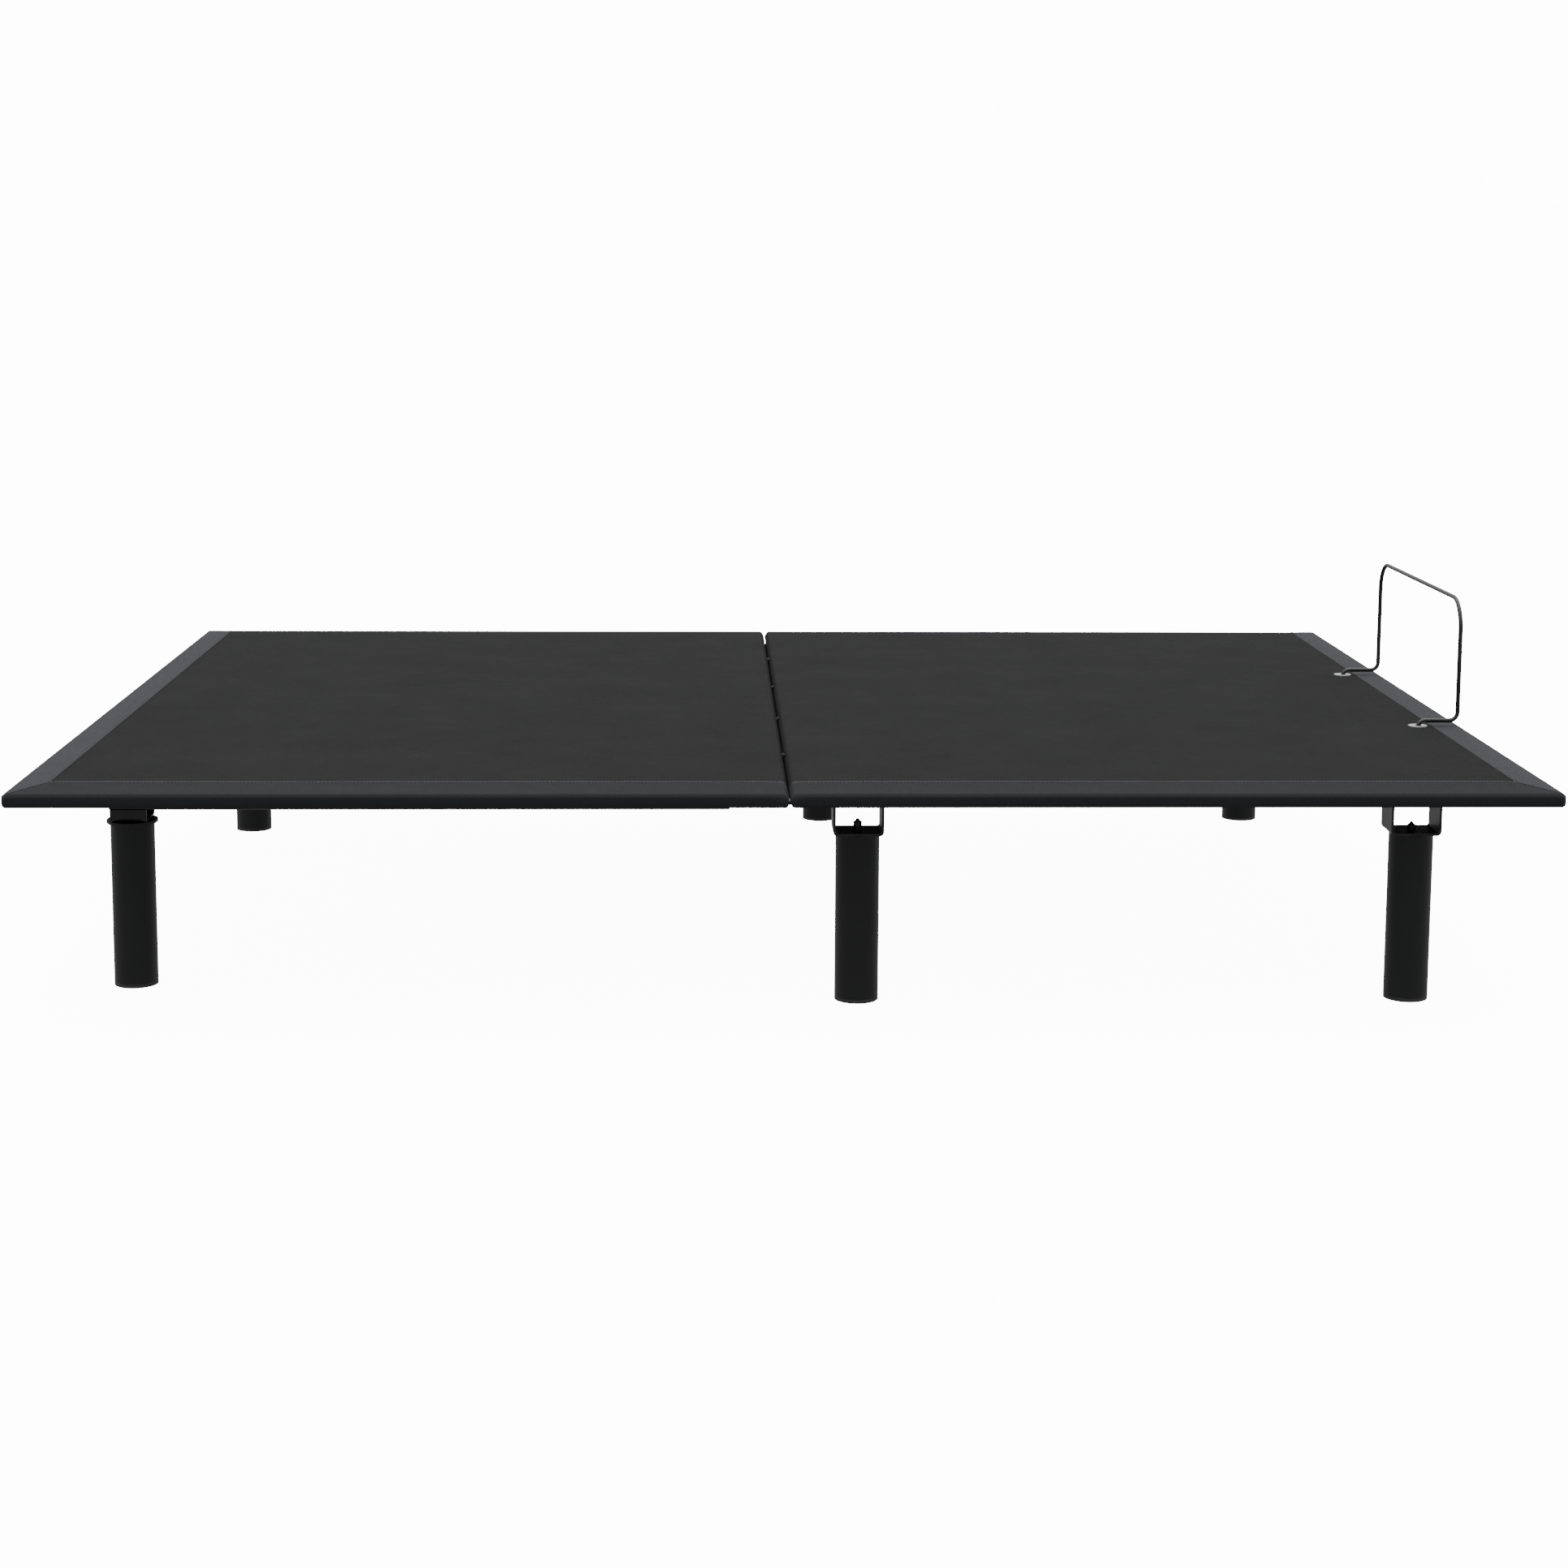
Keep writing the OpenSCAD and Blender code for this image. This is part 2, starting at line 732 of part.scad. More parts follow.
module gearbox_housing() {
    color("dimgray") along_actuator() difference() {
        union() {
            actuator_eye(0, clevis_eye_r, 2 * clevis_in - 1, gearbox_start + eps);
            translate([0, 0, gearbox_start]) linear_extrude(gearbox_end - gearbox_start)
                rounded_box_2d(-gearbox_down, gearbox_up, -gearbox_half_y, gearbox_half_y, 10, 10);
        }
        translate([0, 0, gearbox_start + gearbox_wall])
            linear_extrude(gearbox_end - gearbox_start - 2 * gearbox_wall)
                rounded_box_2d(gearbox_wall - gearbox_down, gearbox_up - gearbox_wall,
                    gearbox_wall - gearbox_half_y, gearbox_half_y - gearbox_wall, 7, 7);
        translate([0, 0, gearbox_end - gearbox_wall - eps])
            cylinder(r = screw_shaft_r + slide_gap, h = gearbox_wall + 2 * eps);
        translate([0, clevis_in + eps, 0]) rotate([90, 0, 0])
            cylinder(r = clevis_pin_r + running, h = 2 * clevis_in + 2 * eps);
    }
}

module motor_can() {
    color("black") along_actuator() translate([-motor_drop, 0, gearbox_end]) {
        cylinder(r = motor_r, h = motor_end - gearbox_end);
        translate([0, 0, motor_end - gearbox_end - eps]) cylinder(r = motor_r - 3, h = 5 + eps);
    }
}

module actuator_tube() {
    color("dimgray") along_actuator() translate([0, 0, gearbox_end]) difference() {
        cylinder(r = tube_r, h = tube_end - gearbox_end);
        translate([0, 0, -eps]) cylinder(r = tube_bore_r, h = tube_end - gearbox_end + 2 * eps);
    }
}

module rod_gland() {
    color("black") along_actuator() translate([0, 0, tube_end]) difference() {
        cylinder(r = gland_r, h = gland_end - tube_end);
        translate([0, 0, -eps]) cylinder(r = rod_r + slide_gap, h = gland_end - tube_end + 2 * eps);
    }
}

module screw_bearing() {
    color("silver") along_actuator() translate([0, 0, gearbox_end]) difference() {
        cylinder(r = tube_bore_r - running, h = bearing_t);
        translate([0, 0, -eps]) cylinder(r = screw_shaft_r + running, h = bearing_t + 2 * eps);
    }
}

module push_rod() {
    color("silver") along_actuator() difference() {
        union() {
            translate([0, 0, rod_start]) cylinder(r = rod_r, h = actuator_length - rod_start - rod_eye_r);
            actuator_eye(actuator_length, rod_eye_r, 2 * clevis_in - 3, actuator_length - rod_eye_r - 6);
        }
        translate([0, 0, rod_start - eps]) cylinder(r = rod_bore_r, h = rod_bore_end - rod_start + eps);
        translate([0, clevis_in, actuator_length]) rotate([90, 0, 0])
            cylinder(r = clevis_pin_r + running, h = 2 * clevis_in);
    }
}

module drive_nut() {
    color("gold") along_actuator() translate([0, 0, nut_start]) difference() {
        cylinder(r = tube_bore_r - slide_gap, h = rod_start - nut_start);
        translate([0, 0, -eps]) cylinder(r = screw_shaft_r + slide_gap, h = rod_start - nut_start + 2 * eps);
    }
}

module lift_pin() { color("silver") clevis_pin(lift_x, lift_z); }

// Lead screw with the worm wheel that the motor turns
module lead_screw() {
    color("silver") along_actuator() {
        translate([0, 0, screw_shaft_start])
            cylinder(r = screw_shaft_r, h = screw_shaft_end - screw_shaft_start);
        translate([0, 0, worm_wheel_at]) cylinder(r = worm_wheel_r, h = worm_wheel_t);
    }
}

// ---------- control box ----------

module control_box_case() {
    z0 = deck_bottom - box_lid_t - box_h;
    color("black") difference() {
        translate([box_x, -box_w / 2, z0]) cube([box_l, box_w, box_h]);
        translate([box_x + box_wall, box_wall - box_w / 2, z0 + box_wall])
            cube([box_l - 2 * box_wall, box_w - 2 * box_wall, box_h]);
        for (y = socket_y) translate([box_x - eps, y, z0 + box_h / 2]) rotate([0, 90, 0])
            cylinder(r = socket_r + running, h = box_wall + 2 * eps);
    }
}

module control_box_lid() {
    color("dimgray") translate([box_x - box_flange, -box_w / 2, deck_bottom - box_lid_t])
        cube([box_l + 2 * box_flange, box_w, box_lid_t]);
}

module control_board() {
    z0 = deck_bottom - box_lid_t - box_h;
    color("green") translate([box_x + box_l - board_l - board_gap, board_gap - box_w / 2, z0 + box_wall])
        cube([board_l, box_w - 2 * board_gap, board_t]);
}

// Power inlet and actuator outlet in the case's end wall
module control_sockets() {
    z = deck_bottom - box_lid_t - box_h / 2;
    color("gray") for (y = socket_y) translate([box_x - socket_out, y, z]) rotate([0, 90, 0]) difference() {
        cylinder(r = socket_r, h = socket_l);
        translate([0, 0, -eps]) cylinder(r = socket_r - socket_wall, h = socket_l - socket_floor + eps);
    }
}

// ---------- retainer bar ----------

module bar_half() {
    translate([bar_foot_x, -bar_y, bar_end_z]) cylinder(r = bar_r, h = bar_run_z - bar_bend - bar_end_z);
    translate([bar_foot_x + bar_bend, -bar_y, bar_run_z - bar_bend]) rotate([90, 0, 0])
        rotate([0, 0, 90]) rotate_extrude(angle = 90) translate([bar_bend, 0]) circle(r = bar_r);
    translate([bar_foot_x + bar_bend, -bar_y, bar_run_z]) rotate([0, 90, 0])
        cylinder(r = bar_r, h = bar_post_x - bar_foot_x - 2 * bar_bend);
    translate([bar_post_x - bar_bend, -bar_y, bar_run_z + bar_bend]) rotate([90, 0, 0])
        rotate([0, 0, -90]) rotate_extrude(angle = 90) translate([bar_bend, 0]) circle(r = bar_r);
    translate([bar_post_x, -bar_y, bar_run_z + bar_bend])
        cylinder(r = bar_r, h = bar_top_z - bar_corner - bar_run_z - bar_bend);
    translate([bar_post_x, bar_corner - bar_y, bar_top_z - bar_corner]) rotate([90, 0, 90])
        rotate([0, 0, 90]) rotate_extrude(angle = 90) translate([bar_corner, 0]) circle(r = bar_r);
    translate([bar_post_x, 0, bar_top_z]) rotate([90, 0, 0]) cylinder(r = bar_r, h = bar_y - bar_corner);
}

module retainer_bar() { color("black") both_sides() bar_half(); }

module retainer_washers() {
    color("lightgray") both_sides() translate([bar_foot_x, -bar_y, deck_top]) difference() {
        cylinder(r = bar_washer_r, h = bar_washer_t);
        translate([0, 0, -eps]) cylinder(r = bar_hole_r, h = bar_washer_t + 2 * eps);
    }
}

module retainer_nuts() {
    color("silver") both_sides() translate([bar_foot_x, -bar_y, deck_bottom - m8_nut_t])
        m8_nut(m8_nut_t, bar_r - m8_r + thread_r);
}

head_side_rail_front();
head_side_rail_rear();
head_cross_tube();
fold_plates();
hinge_beam();
hinge_ears();
hinge_pins();
fixed_clevis();
pivot_pin();
foot_side_rail_front();
foot_side_rail_rear();
foot_cross_tubes();
fold_ears();
fold_bolts();
fold_nuts();
head_leg_brackets();
mid_leg_brackets();
foot_leg_brackets();
leg_head_front();
leg_head_rear();
leg_mid_front();
leg_mid_rear();
leg_foot_front();
leg_foot_rear();
leg_flanges();
leg_studs();
leg_nuts();
leg_glides();
foot_deck_board();
foot_deck_border_wrap();
foot_deck_top_fabric();
foot_deck_dust_cover();
foot_deck_screws();
frame_buffers();
control_box_case();
control_box_lid();
control_board();
control_sockets();
retainer_bar();
retainer_washers();
retainer_nuts();
head_deck_board();
head_deck_border_wrap();
head_deck_top_fabric();
head_deck_dust_cover();
head_deck_rails();
head_deck_cross_tubes();
hinge_knuckles();
hinge_bushes();
lift_clevis();
head_deck_screws();
gearbox_housing();
motor_can();
actuator_tube();
rod_gland();
push_rod();
drive_nut();
lift_pin();
lead_screw();
screw_bearing();
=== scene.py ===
"""The looks of an adjustable bed base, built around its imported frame. Lengths are metres in the CAD frame:
X runs along the bed with the head at -X, Y across it, Z = 0 is the floor."""

import json
import math

import bpy
from mathutils import Matrix, Vector, noise


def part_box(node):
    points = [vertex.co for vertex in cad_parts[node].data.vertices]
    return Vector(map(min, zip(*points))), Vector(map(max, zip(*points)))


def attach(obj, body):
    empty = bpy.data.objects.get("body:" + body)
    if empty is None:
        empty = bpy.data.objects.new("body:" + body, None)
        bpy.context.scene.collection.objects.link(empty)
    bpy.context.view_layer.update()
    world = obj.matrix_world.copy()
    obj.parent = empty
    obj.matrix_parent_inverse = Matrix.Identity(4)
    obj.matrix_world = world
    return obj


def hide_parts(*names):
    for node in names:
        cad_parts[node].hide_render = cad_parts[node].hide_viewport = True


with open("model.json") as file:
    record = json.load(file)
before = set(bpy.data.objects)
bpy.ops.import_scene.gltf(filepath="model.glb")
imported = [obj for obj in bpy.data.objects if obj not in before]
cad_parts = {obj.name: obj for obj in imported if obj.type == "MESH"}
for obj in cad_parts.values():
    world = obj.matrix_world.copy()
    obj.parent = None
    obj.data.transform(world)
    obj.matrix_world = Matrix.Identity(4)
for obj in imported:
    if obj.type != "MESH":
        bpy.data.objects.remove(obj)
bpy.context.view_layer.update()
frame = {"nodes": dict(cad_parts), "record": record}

MM = 0.001

# ---------- driving sizes, read from the frame ----------

WRAP_LO, WRAP_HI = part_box("foot_deck_border_wrap")
SPLIT_X, HALF = WRAP_LO.x, WRAP_HI.x
HALF_W = WRAP_HI.y
DECK_BOTTOM, DECK_TOP = WRAP_LO.z, WRAP_HI.z
FELT_LO, FELT_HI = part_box("foot_deck_top_fabric")
SEAM_X = FELT_HI.x
SEAM_Y = FELT_LO.y
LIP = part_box("foot_deck_dust_cover")[0].x
BAR_LO, BAR_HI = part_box("retainer_washers")
BAR_X = (BAR_LO.x + BAR_HI.x) / 2
BAR_Y = BAR_HI.y - (BAR_HI.x - BAR_LO.x) / 2
MID_Z = (DECK_TOP + DECK_BOTTOM) / 2

# Roundings of the cloth: along the rims, along the split, at the corners in plan, and where three edges meet
CLOTH_T = 2.2 * MM
RIM_R_TOP = 4.5 * MM
RIM_R_BOTTOM = 3 * MM
SPLIT_R = 10 * MM
PLAN_R = 8.5 * MM
SPLIT_PLAN_R = 2.5 * MM
CORNER_R = 7.5 * MM
LOW_CORNER_R = 1.4 * RIM_R_BOTTOM

# The padded rim stands proud of the board, and bulges at half its height
RIM_PROUD = 1.3 * MM
RIM_BULGE = 1.2 * MM

# Openings in the cloth for the hinges at the split and for the feet of the retainer bar
HINGE_Y = (-0.45, -0.15, 0.15, 0.45)
POCKET_HALF = 11 * MM
POCKET_DEPTH = {"foot": 22 * MM, "head": 34 * MM}
POCKET_TOP = DECK_TOP - 5 * MM
BAR_HOLE_HALF = 5 * MM


# ---------- materials ----------

class Shader:
    """A material's node graph, with short names for the nodes that repeat."""

    def __init__(self, name, rough, metallic=0.0, specular=0.5, sheen=0.0):
        self.mat = bpy.data.materials.new(name)
        self.mat.use_nodes = True
        self.nodes = self.mat.node_tree.nodes
        self.links = self.mat.node_tree.links
        self.bsdf = self.nodes["Principled BSDF"]
        self.bsdf.inputs["Roughness"].default_value = rough
        self.bsdf.inputs["Metallic"].default_value = metallic
        self.bsdf.inputs["Specular IOR Level"].default_value = specular
        self.bsdf.inputs["Sheen Weight"].default_value = sheen
        self.bsdf.inputs["Sheen Roughness"].default_value = 0.5
        self.coord = self.nodes.new("ShaderNodeTexCoord").outputs["Object"]

    def node(self, kind, out, links=(), **values):
        n = self.nodes.new(kind)
        for key, value in values.items():
            if key in n.inputs:
                n.inputs[key].default_value = value
            else:
                setattr(n, key, value)
        for socket, source in links:
            self.links.new(source, n.inputs[socket])
        return n.outputs[out]

    def stretched(self, x, y, z):
        return self.node("ShaderNodeMapping", "Vector", [("Vector", self.coord)], Scale=(x, y, z))

    def noise(self, scale, detail=3.0, at=None):
        place = at or self.coord
        return self.node("ShaderNodeTexNoise", "Fac", [("Vector", place)], Scale=scale, Detail=detail)

    def threads(self, direction, pitch):
        """Rows of threads across one axis, a thread every pitch."""
        turns_per_metre = 1.0 / pitch
        return self.node(
            "ShaderNodeTexWave", "Fac", [("Vector", self.coord)],
            bands_direction=direction, Scale=turns_per_metre * math.pi / 10, Distortion=0.6, Detail=1.0,
        )

    def ramp(self, value, low, high, at=(0.3, 0.7)):
        n = self.nodes.new("ShaderNodeValToRGB")
        for stop, colour, place in zip(n.color_ramp.elements, (low, high), at):
            stop.position = place
            stop.color = (*colour, 1.0)
        self.links.new(value, n.inputs["Fac"])
        return n.outputs["Color"]

    def blend(self, a, b, share):
        n = self.nodes.new("ShaderNodeMix")
        n.data_type = "RGBA"
        for socket, value in ((6, a), (7, b), (0, share)):
            if isinstance(value, (int, float)):
                n.inputs[socket].default_value = value
            elif isinstance(value, tuple):
                n.inputs[socket].default_value = (*value, 1.0)
            else:
                self.links.new(value, n.inputs[socket])
        return n.outputs[2]

    def math(self, operation, a, b):
        n = self.nodes.new("ShaderNodeMath")
        n.operation = operation
        for socket, value in enumerate((a, b)):
            if isinstance(value, (int, float)):
                n.inputs[socket].default_value = value
            else:
                self.links.new(value, n.inputs[socket])
        return n.outputs[0]

    def bump(self, height, depth, before=None):
        links = [("Height", height)]
        if before is not None:
            links.append(("Normal", before))
        return self.node("ShaderNodeBump", "Normal", links, Strength=1.0, Distance=depth)

    def rough(self, value, low, high):
        """Roughness that varies over the surface."""
        span = self.nodes.new("ShaderNodeMapRange")
        span.inputs["To Min"].default_value = low
        span.inputs["To Max"].default_value = high
        self.links.new(value, span.inputs["Value"])
        self.links.new(span.outputs[0], self.bsdf.inputs["Roughness"])

    def edge_wear(self, share=0.3):
        """Patchy wear where the surface turns sharply, found by comparing its normal with a rounded one."""
        round_normal = self.node("ShaderNodeBevel", "Normal", Radius=0.8 * MM, samples=4)
        flat_normal = self.nodes.new("ShaderNodeNewGeometry").outputs["Normal"]
        turn = self.nodes.new("ShaderNodeVectorMath")
        turn.operation = "DOT_PRODUCT"
        self.links.new(round_normal, turn.inputs[0])
        self.links.new(flat_normal, turn.inputs[1])
        sharp = self.math("LESS_THAN", turn.outputs["Value"], 0.93)
        patches = self.math("GREATER_THAN", self.noise(90.0, 4.0), 0.55)
        return self.math("MULTIPLY", self.math("MULTIPLY", sharp, patches), share)

    def finish(self, colour, normal=None):
        if isinstance(colour, tuple):
            self.bsdf.inputs["Base Color"].default_value = (*colour, 1.0)
        else:
            self.links.new(colour, self.bsdf.inputs["Base Color"])
        if normal is not None:
            self.links.new(normal, self.bsdf.inputs["Normal"])
        return self.mat


def tint(colour, factor):
    return tuple(channel * factor for channel in colour)


def felt(name, colour, sheen):
    """Needled felt: short fibres, soft mottling and a few pale specks of lint."""
    s = Shader(name, rough=0.95, specular=0.03, sheen=sheen)
    mottle = s.ramp(s.noise(9.0, 4.0), tint(colour, 0.86), tint(colour, 1.14))
    fibre = s.ramp(s.noise(1100.0, 2.0), tint(colour, 0.7), tint(colour, 1.3))
    base = s.blend(mottle, fibre, 0.45)
    cells = s.node("ShaderNodeTexVoronoi", "Distance", [("Vector", s.coord)], Scale=26.0, Randomness=1.0)
    speck = s.math("LESS_THAN", cells, 0.018)
    base = s.blend(base, tint(colour, 3.4), s.math("MULTIPLY", speck, s.noise(5.0, 0.0)))
    nap = s.bump(s.noise(1300.0, 2.0), 0.25 * MM)
    lumps = s.bump(s.noise(160.0, 3.0), 0.25 * MM, nap)
    s.rough(s.noise(40.0), 0.88, 1.0)
    return s.finish(base, lumps)


def woven(name, colour, sheen, pitch=1.1 * MM):
    """Plain weave: warp and weft threads crossing, with slubs and soft mottling."""
    s = Shader(name, rough=0.9, specular=0.05, sheen=sheen)
    warp = s.threads("X", pitch)
    weft = s.threads("Y", pitch)
    rise = s.threads("Z", pitch)
    weave = s.math("MULTIPLY", s.math("ADD", warp, weft), s.math("ADD", rise, 0.4))
    mottle = s.ramp(s.noise(7.0, 4.0), tint(colour, 0.93), tint(colour, 1.07))
    slub = s.ramp(s.noise(60.0, 2.0, s.stretched(1.0, 9.0, 9.0)), tint(colour, 0.9), tint(colour, 1.12))
    threads = s.ramp(weave, tint(colour, 0.8), tint(colour, 1.15), at=(0.2, 1.0))
    base = s.blend(s.blend(mottle, slub, 0.5), threads, 0.5)
    normal = s.bump(weave, 0.12 * MM)
    normal = s.bump(s.noise(900.0, 2.0), 0.08 * MM, normal)
    s.rough(s.noise(30.0), 0.82, 0.95)
    return s.finish(base, normal)


def spunbond(name, colour):
    """Thin non-woven cloth: pressed fibres with a grid of small heat-bond dots."""
    s = Shader(name, rough=0.9, specular=0.2, sheen=0.05)
    dots = s.node("ShaderNodeTexVoronoi", "Distance", [("Vector", s.coord)], Scale=420.0, Randomness=0.15)
    fibres = s.noise(700.0, 4.0, s.stretched(1.0, 2.6, 1.0))
    loose = s.ramp(fibres, tint(colour, 0.6), tint(colour, 1.7))
    base = s.blend(loose, tint(colour, 0.8), s.math("LESS_THAN", dots, 0.2))
    return s.finish(base, s.bump(dots, 0.1 * MM, s.bump(fibres, 0.15 * MM)))


def powder_coat(name, colour, rough, specular, worn=(0.16, 0.16, 0.165)):
    """Powder coat: fine orange peel, cloudy gloss, and thin wear on the sharpest edges."""
    s = Shader(name, rough=rough, specular=specular)
    peel = s.noise(900.0, 1.0)
    cloud = s.noise(14.0, 4.0)
    base = s.blend(s.ramp(cloud, tint(colour, 0.85), tint(colour, 1.2)), worn, s.edge_wear())
    s.rough(cloud, rough - 0.05, rough + 0.1)
    return s.finish(base, s.bump(peel, 0.02 * MM, s.bump(cloud, 0.04 * MM)))


def moulded(name, colour, rough=0.55):
    """Moulded plastic with a fine spark-eroded texture."""
    s = Shader(name, rough=rough, specular=0.4)
    grain = s.noise(1500.0, 2.0)
    base = s.ramp(s.noise(20.0, 3.0), tint(colour, 0.9), tint(colour, 1.1))
    s.rough(s.noise(90.0), rough - 0.06, rough + 0.1)
    return s.finish(base, s.bump(grain, 0.04 * MM))


def metal(name, colour, rough, lines=(1.0, 1.0, 1.0), line_scale=300.0):
    """Bare or plated metal: drawn or turned lines, cloudy plating and small scuffs."""
    s = Shader(name, rough=rough, metallic=1.0)
    drawn = s.noise(line_scale, 3.0, s.stretched(*lines))
    cloud = s.noise(45.0, 4.0)
    clouded = s.ramp(cloud, tint(colour, 0.82), tint(colour, 1.08))
    lined = s.ramp(drawn, tint(colour, 0.8), tint(colour, 1.1))
    base = s.blend(clouded, lined, 0.4)
    s.rough(drawn, rough - 0.08, rough + 0.12)
    return s.finish(base, s.bump(drawn, 0.01 * MM))


def plywood(name):
    """Near-black plywood: long grain with growth rings and pores."""
    # The near-black colour is painted shade for the split gap and the hinge pockets, where the board shows
    colour = (0.012, 0.0095, 0.007)
    s = Shader(name, rough=0.7, specular=0.3)
    rings = s.noise(18.0, 4.0, s.stretched(0.12, 1.0, 4.0))
    pores = s.noise(500.0, 2.0, s.stretched(0.06, 1.0, 1.0))
    ringed = s.ramp(rings, tint(colour, 0.75), tint(colour, 1.15))
    pored = s.ramp(pores, tint(colour, 0.6), tint(colour, 1.1))
    base = s.blend(ringed, pored, 0.35)
    return s.finish(base, s.bump(pores, 0.05 * MM))


def solder_mask(name):
    """Circuit board: green mask over copper tracks."""
    s = Shader(name, rough=0.35, specular=0.5)
    tracks = s.node("ShaderNodeTexBrick", "Fac", [("Vector", s.coord)], Scale=160.0)
    return s.finish(s.blend((0.01, 0.09, 0.03), (0.02, 0.2, 0.07), tracks), s.bump(tracks, 0.05 * MM))


LOOKS = {
    "top_fabric": felt("top_felt", (0.0106, 0.0106, 0.0108), sheen=0.0),
    # One border cloth in lit and shaded copies, painted light and shade: darkest on the near strip's top and
    # the faces out of sight, lighter on the upright near face, lighter still on the ends
    "border_cloth_shaded": woven("border_cloth_side_shaded", (0.0085, 0.0088, 0.0098), sheen=0.02),
    "border_cloth_edge_lit": woven("border_cloth_edge_lit", (0.0122, 0.0125, 0.0136), sheen=0.02),
    "border_fabric": woven("border_cloth_end_lit", (0.0208, 0.0219, 0.0243), sheen=0.03),
    # The hem rows get the lightest copy of the border cloth: a painted highlight where the doubled cloth
    # catches the light
    "border_hem_highlight": woven("border_cloth_hem_highlight", (0.0300, 0.0311, 0.0335), sheen=0.03),
    "dust_cover_fabric": spunbond("dust_cover_cloth", (0.012, 0.012, 0.013)),
    "thread": woven("border_thread", (0.045, 0.046, 0.050), sheen=0.05, pitch=0.4 * MM),
    "board_wood": plywood("plywood"),
    "black_frame_steel": powder_coat("frame_powder_coat", (0.0032, 0.0032, 0.0034), 0.42, 0.32),
    "black_leg_steel": powder_coat("leg_powder_coat", (0.0032, 0.0032, 0.0034), 0.42, 0.25),
    "hinge_black": powder_coat("hinge_phosphate_coat", (0.006, 0.006, 0.006), 0.75, 0.08),
    "black_bar_steel": powder_coat("bar_powder_coat", (0.004, 0.004, 0.004), 0.38, 0.35),
    "zinc_plated_steel": metal("zinc_plate", (0.36, 0.365, 0.375), 0.42),
    "blackened_steel": metal("blackened_steel", (0.035, 0.035, 0.037), 0.4),
    "black_plastic": moulded("black_plastic", (0.010, 0.010, 0.0105)),
    "grey_plastic": moulded("grey_plastic", (0.08, 0.08, 0.085)),
    "black_rubber": moulded("black_rubber", (0.012, 0.012, 0.012), rough=0.85),
    "circuit_board": solder_mask("circuit_board"),
    "black_motor_can": powder_coat("motor_paint", (0.010, 0.010, 0.011), 0.4, 0.3),
    "grey_aluminium": metal("anodised_aluminium", (0.36, 0.37, 0.38), 0.35, lines=(0.05, 1.0, 1.0)),
    "chromed_rod": metal("rod_chrome", (0.60, 0.60, 0.62), 0.14, lines=(0.05, 1.0, 1.0)),
    "brass_nut": metal("turned_brass", (0.55, 0.38, 0.15), 0.3),
}

HINGE_NODES = ("hinge_ears", "hinge_knuckles", "hinge_pins", "hinge_bushes")
SLOT_OF = {row["node"]: row["material_slot"] for row in frame["record"]["subparts"]}

for name, obj in frame["nodes"].items():
    obj.data.materials.clear()
    obj.data.materials.append(LOOKS["hinge_black" if name in HINGE_NODES else SLOT_OF[name]])


# ---------- mesh helpers ----------

def piece(name, verts, faces, looks, body, slot=None, smooth=True, indices=None):
    """A mesh object made of points and faces in the row frame, riding on a body."""
    mesh = bpy.data.meshes.new(name)
    mesh.from_pydata(verts, [], faces)
    for look in looks if isinstance(looks, list) else [looks]:
        mesh.materials.append(LOOKS[look])
    for poly in mesh.polygons:
        poly.use_smooth = smooth
    if indices:
        mesh.polygons.foreach_set("material_index", indices)
    mesh.validate()
    mesh.update()
    obj = bpy.data.objects.new(name, mesh)
    bpy.context.scene.collection.objects.link(obj)
    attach(obj, body)
    return obj


def thicken(obj, thickness):
    """Gives a sheet its thickness, inwards from its outer face."""
    solid = obj.modifiers.new("thickness", "SOLIDIFY")
    solid.thickness = thickness
    solid.offset = -1.0


SLIVER_SHOULDER = 0.32


def slivers(spots, length, radius, sides=6):
    """Many short level bars, pointed at both ends. Each spot is a bar's centre and unit direction."""
    verts, faces = [], []
    for centre, direction in spots:
        across = direction.cross(Vector((0, 0, 1)))
        rise = across.cross(direction)
        base = len(verts)
        verts.append(centre - direction * length / 2)
        for along in (-SLIVER_SHOULDER, SLIVER_SHOULDER):
            for k in range(sides):
                a = 2 * math.pi * k / sides
                side = across * math.cos(a) + rise * math.sin(a)
                verts.append(centre + direction * length * along + side * radius)
        verts.append(centre + direction * length / 2)
        for k in range(sides):
            k2 = (k + 1) % sides
            faces.append((base, base + 1 + k, base + 1 + k2))
            faces.append((base + 1 + k, base + 1 + sides + k, base + 1 + sides + k2, base + 1 + k2))
            faces.append((base + 1 + sides + k, base + 1 + 2 * sides, base + 1 + sides + k2))
    return verts, faces


# ---------- upholstery ----------

# A grid line is (place, side, slope). A flat line lies at its place. A rounding line belongs to the low or
# the high side, and its slope is the tangent of the angle that it has turned through, from 0 to 1.
ROUNDING = [math.tan(math.radians(angle)) for angle in (0, 11.25, 22.5, 33.75, 45)]
LOW_LINES = [(None, -1, -slope) for slope in ROUNDING[::-1]]
HIGH_LINES = [(None, 1, slope) for slope in ROUNDING]

# Grid lines across a border strip, as shares of its flat width from the seam to the rounded rim
BORDER_SHARES = (0.0, 0.02, 0.058, 0.075, 0.12, 0.19, 0.27, 0.36, 0.46, 0.57, 0.68, 0.77, 0.86)
HEM_ROWS = 2
NEAR_SEAM = (11 * MM, 6 * MM, 3.2 * MM, 1.4 * MM)
GRID_STEP = 15 * MM
FINE_STEP = 5 * MM
CUT_CLEAR = 4 * MM

# Levels of the slot between the halves, under the hinge axis
SLOT_LOW = DECK_BOTTOM + 4.5 * MM
SLOT_TOP = DECK_BOTTOM + 6 * MM


def spread(start, stop, step):
    """Evenly spaced places from start to just before stop, about step apart."""
    count = max(1, round(abs(stop - start) / step))
    return [start + (stop - start) * k / count for k in range(count)]


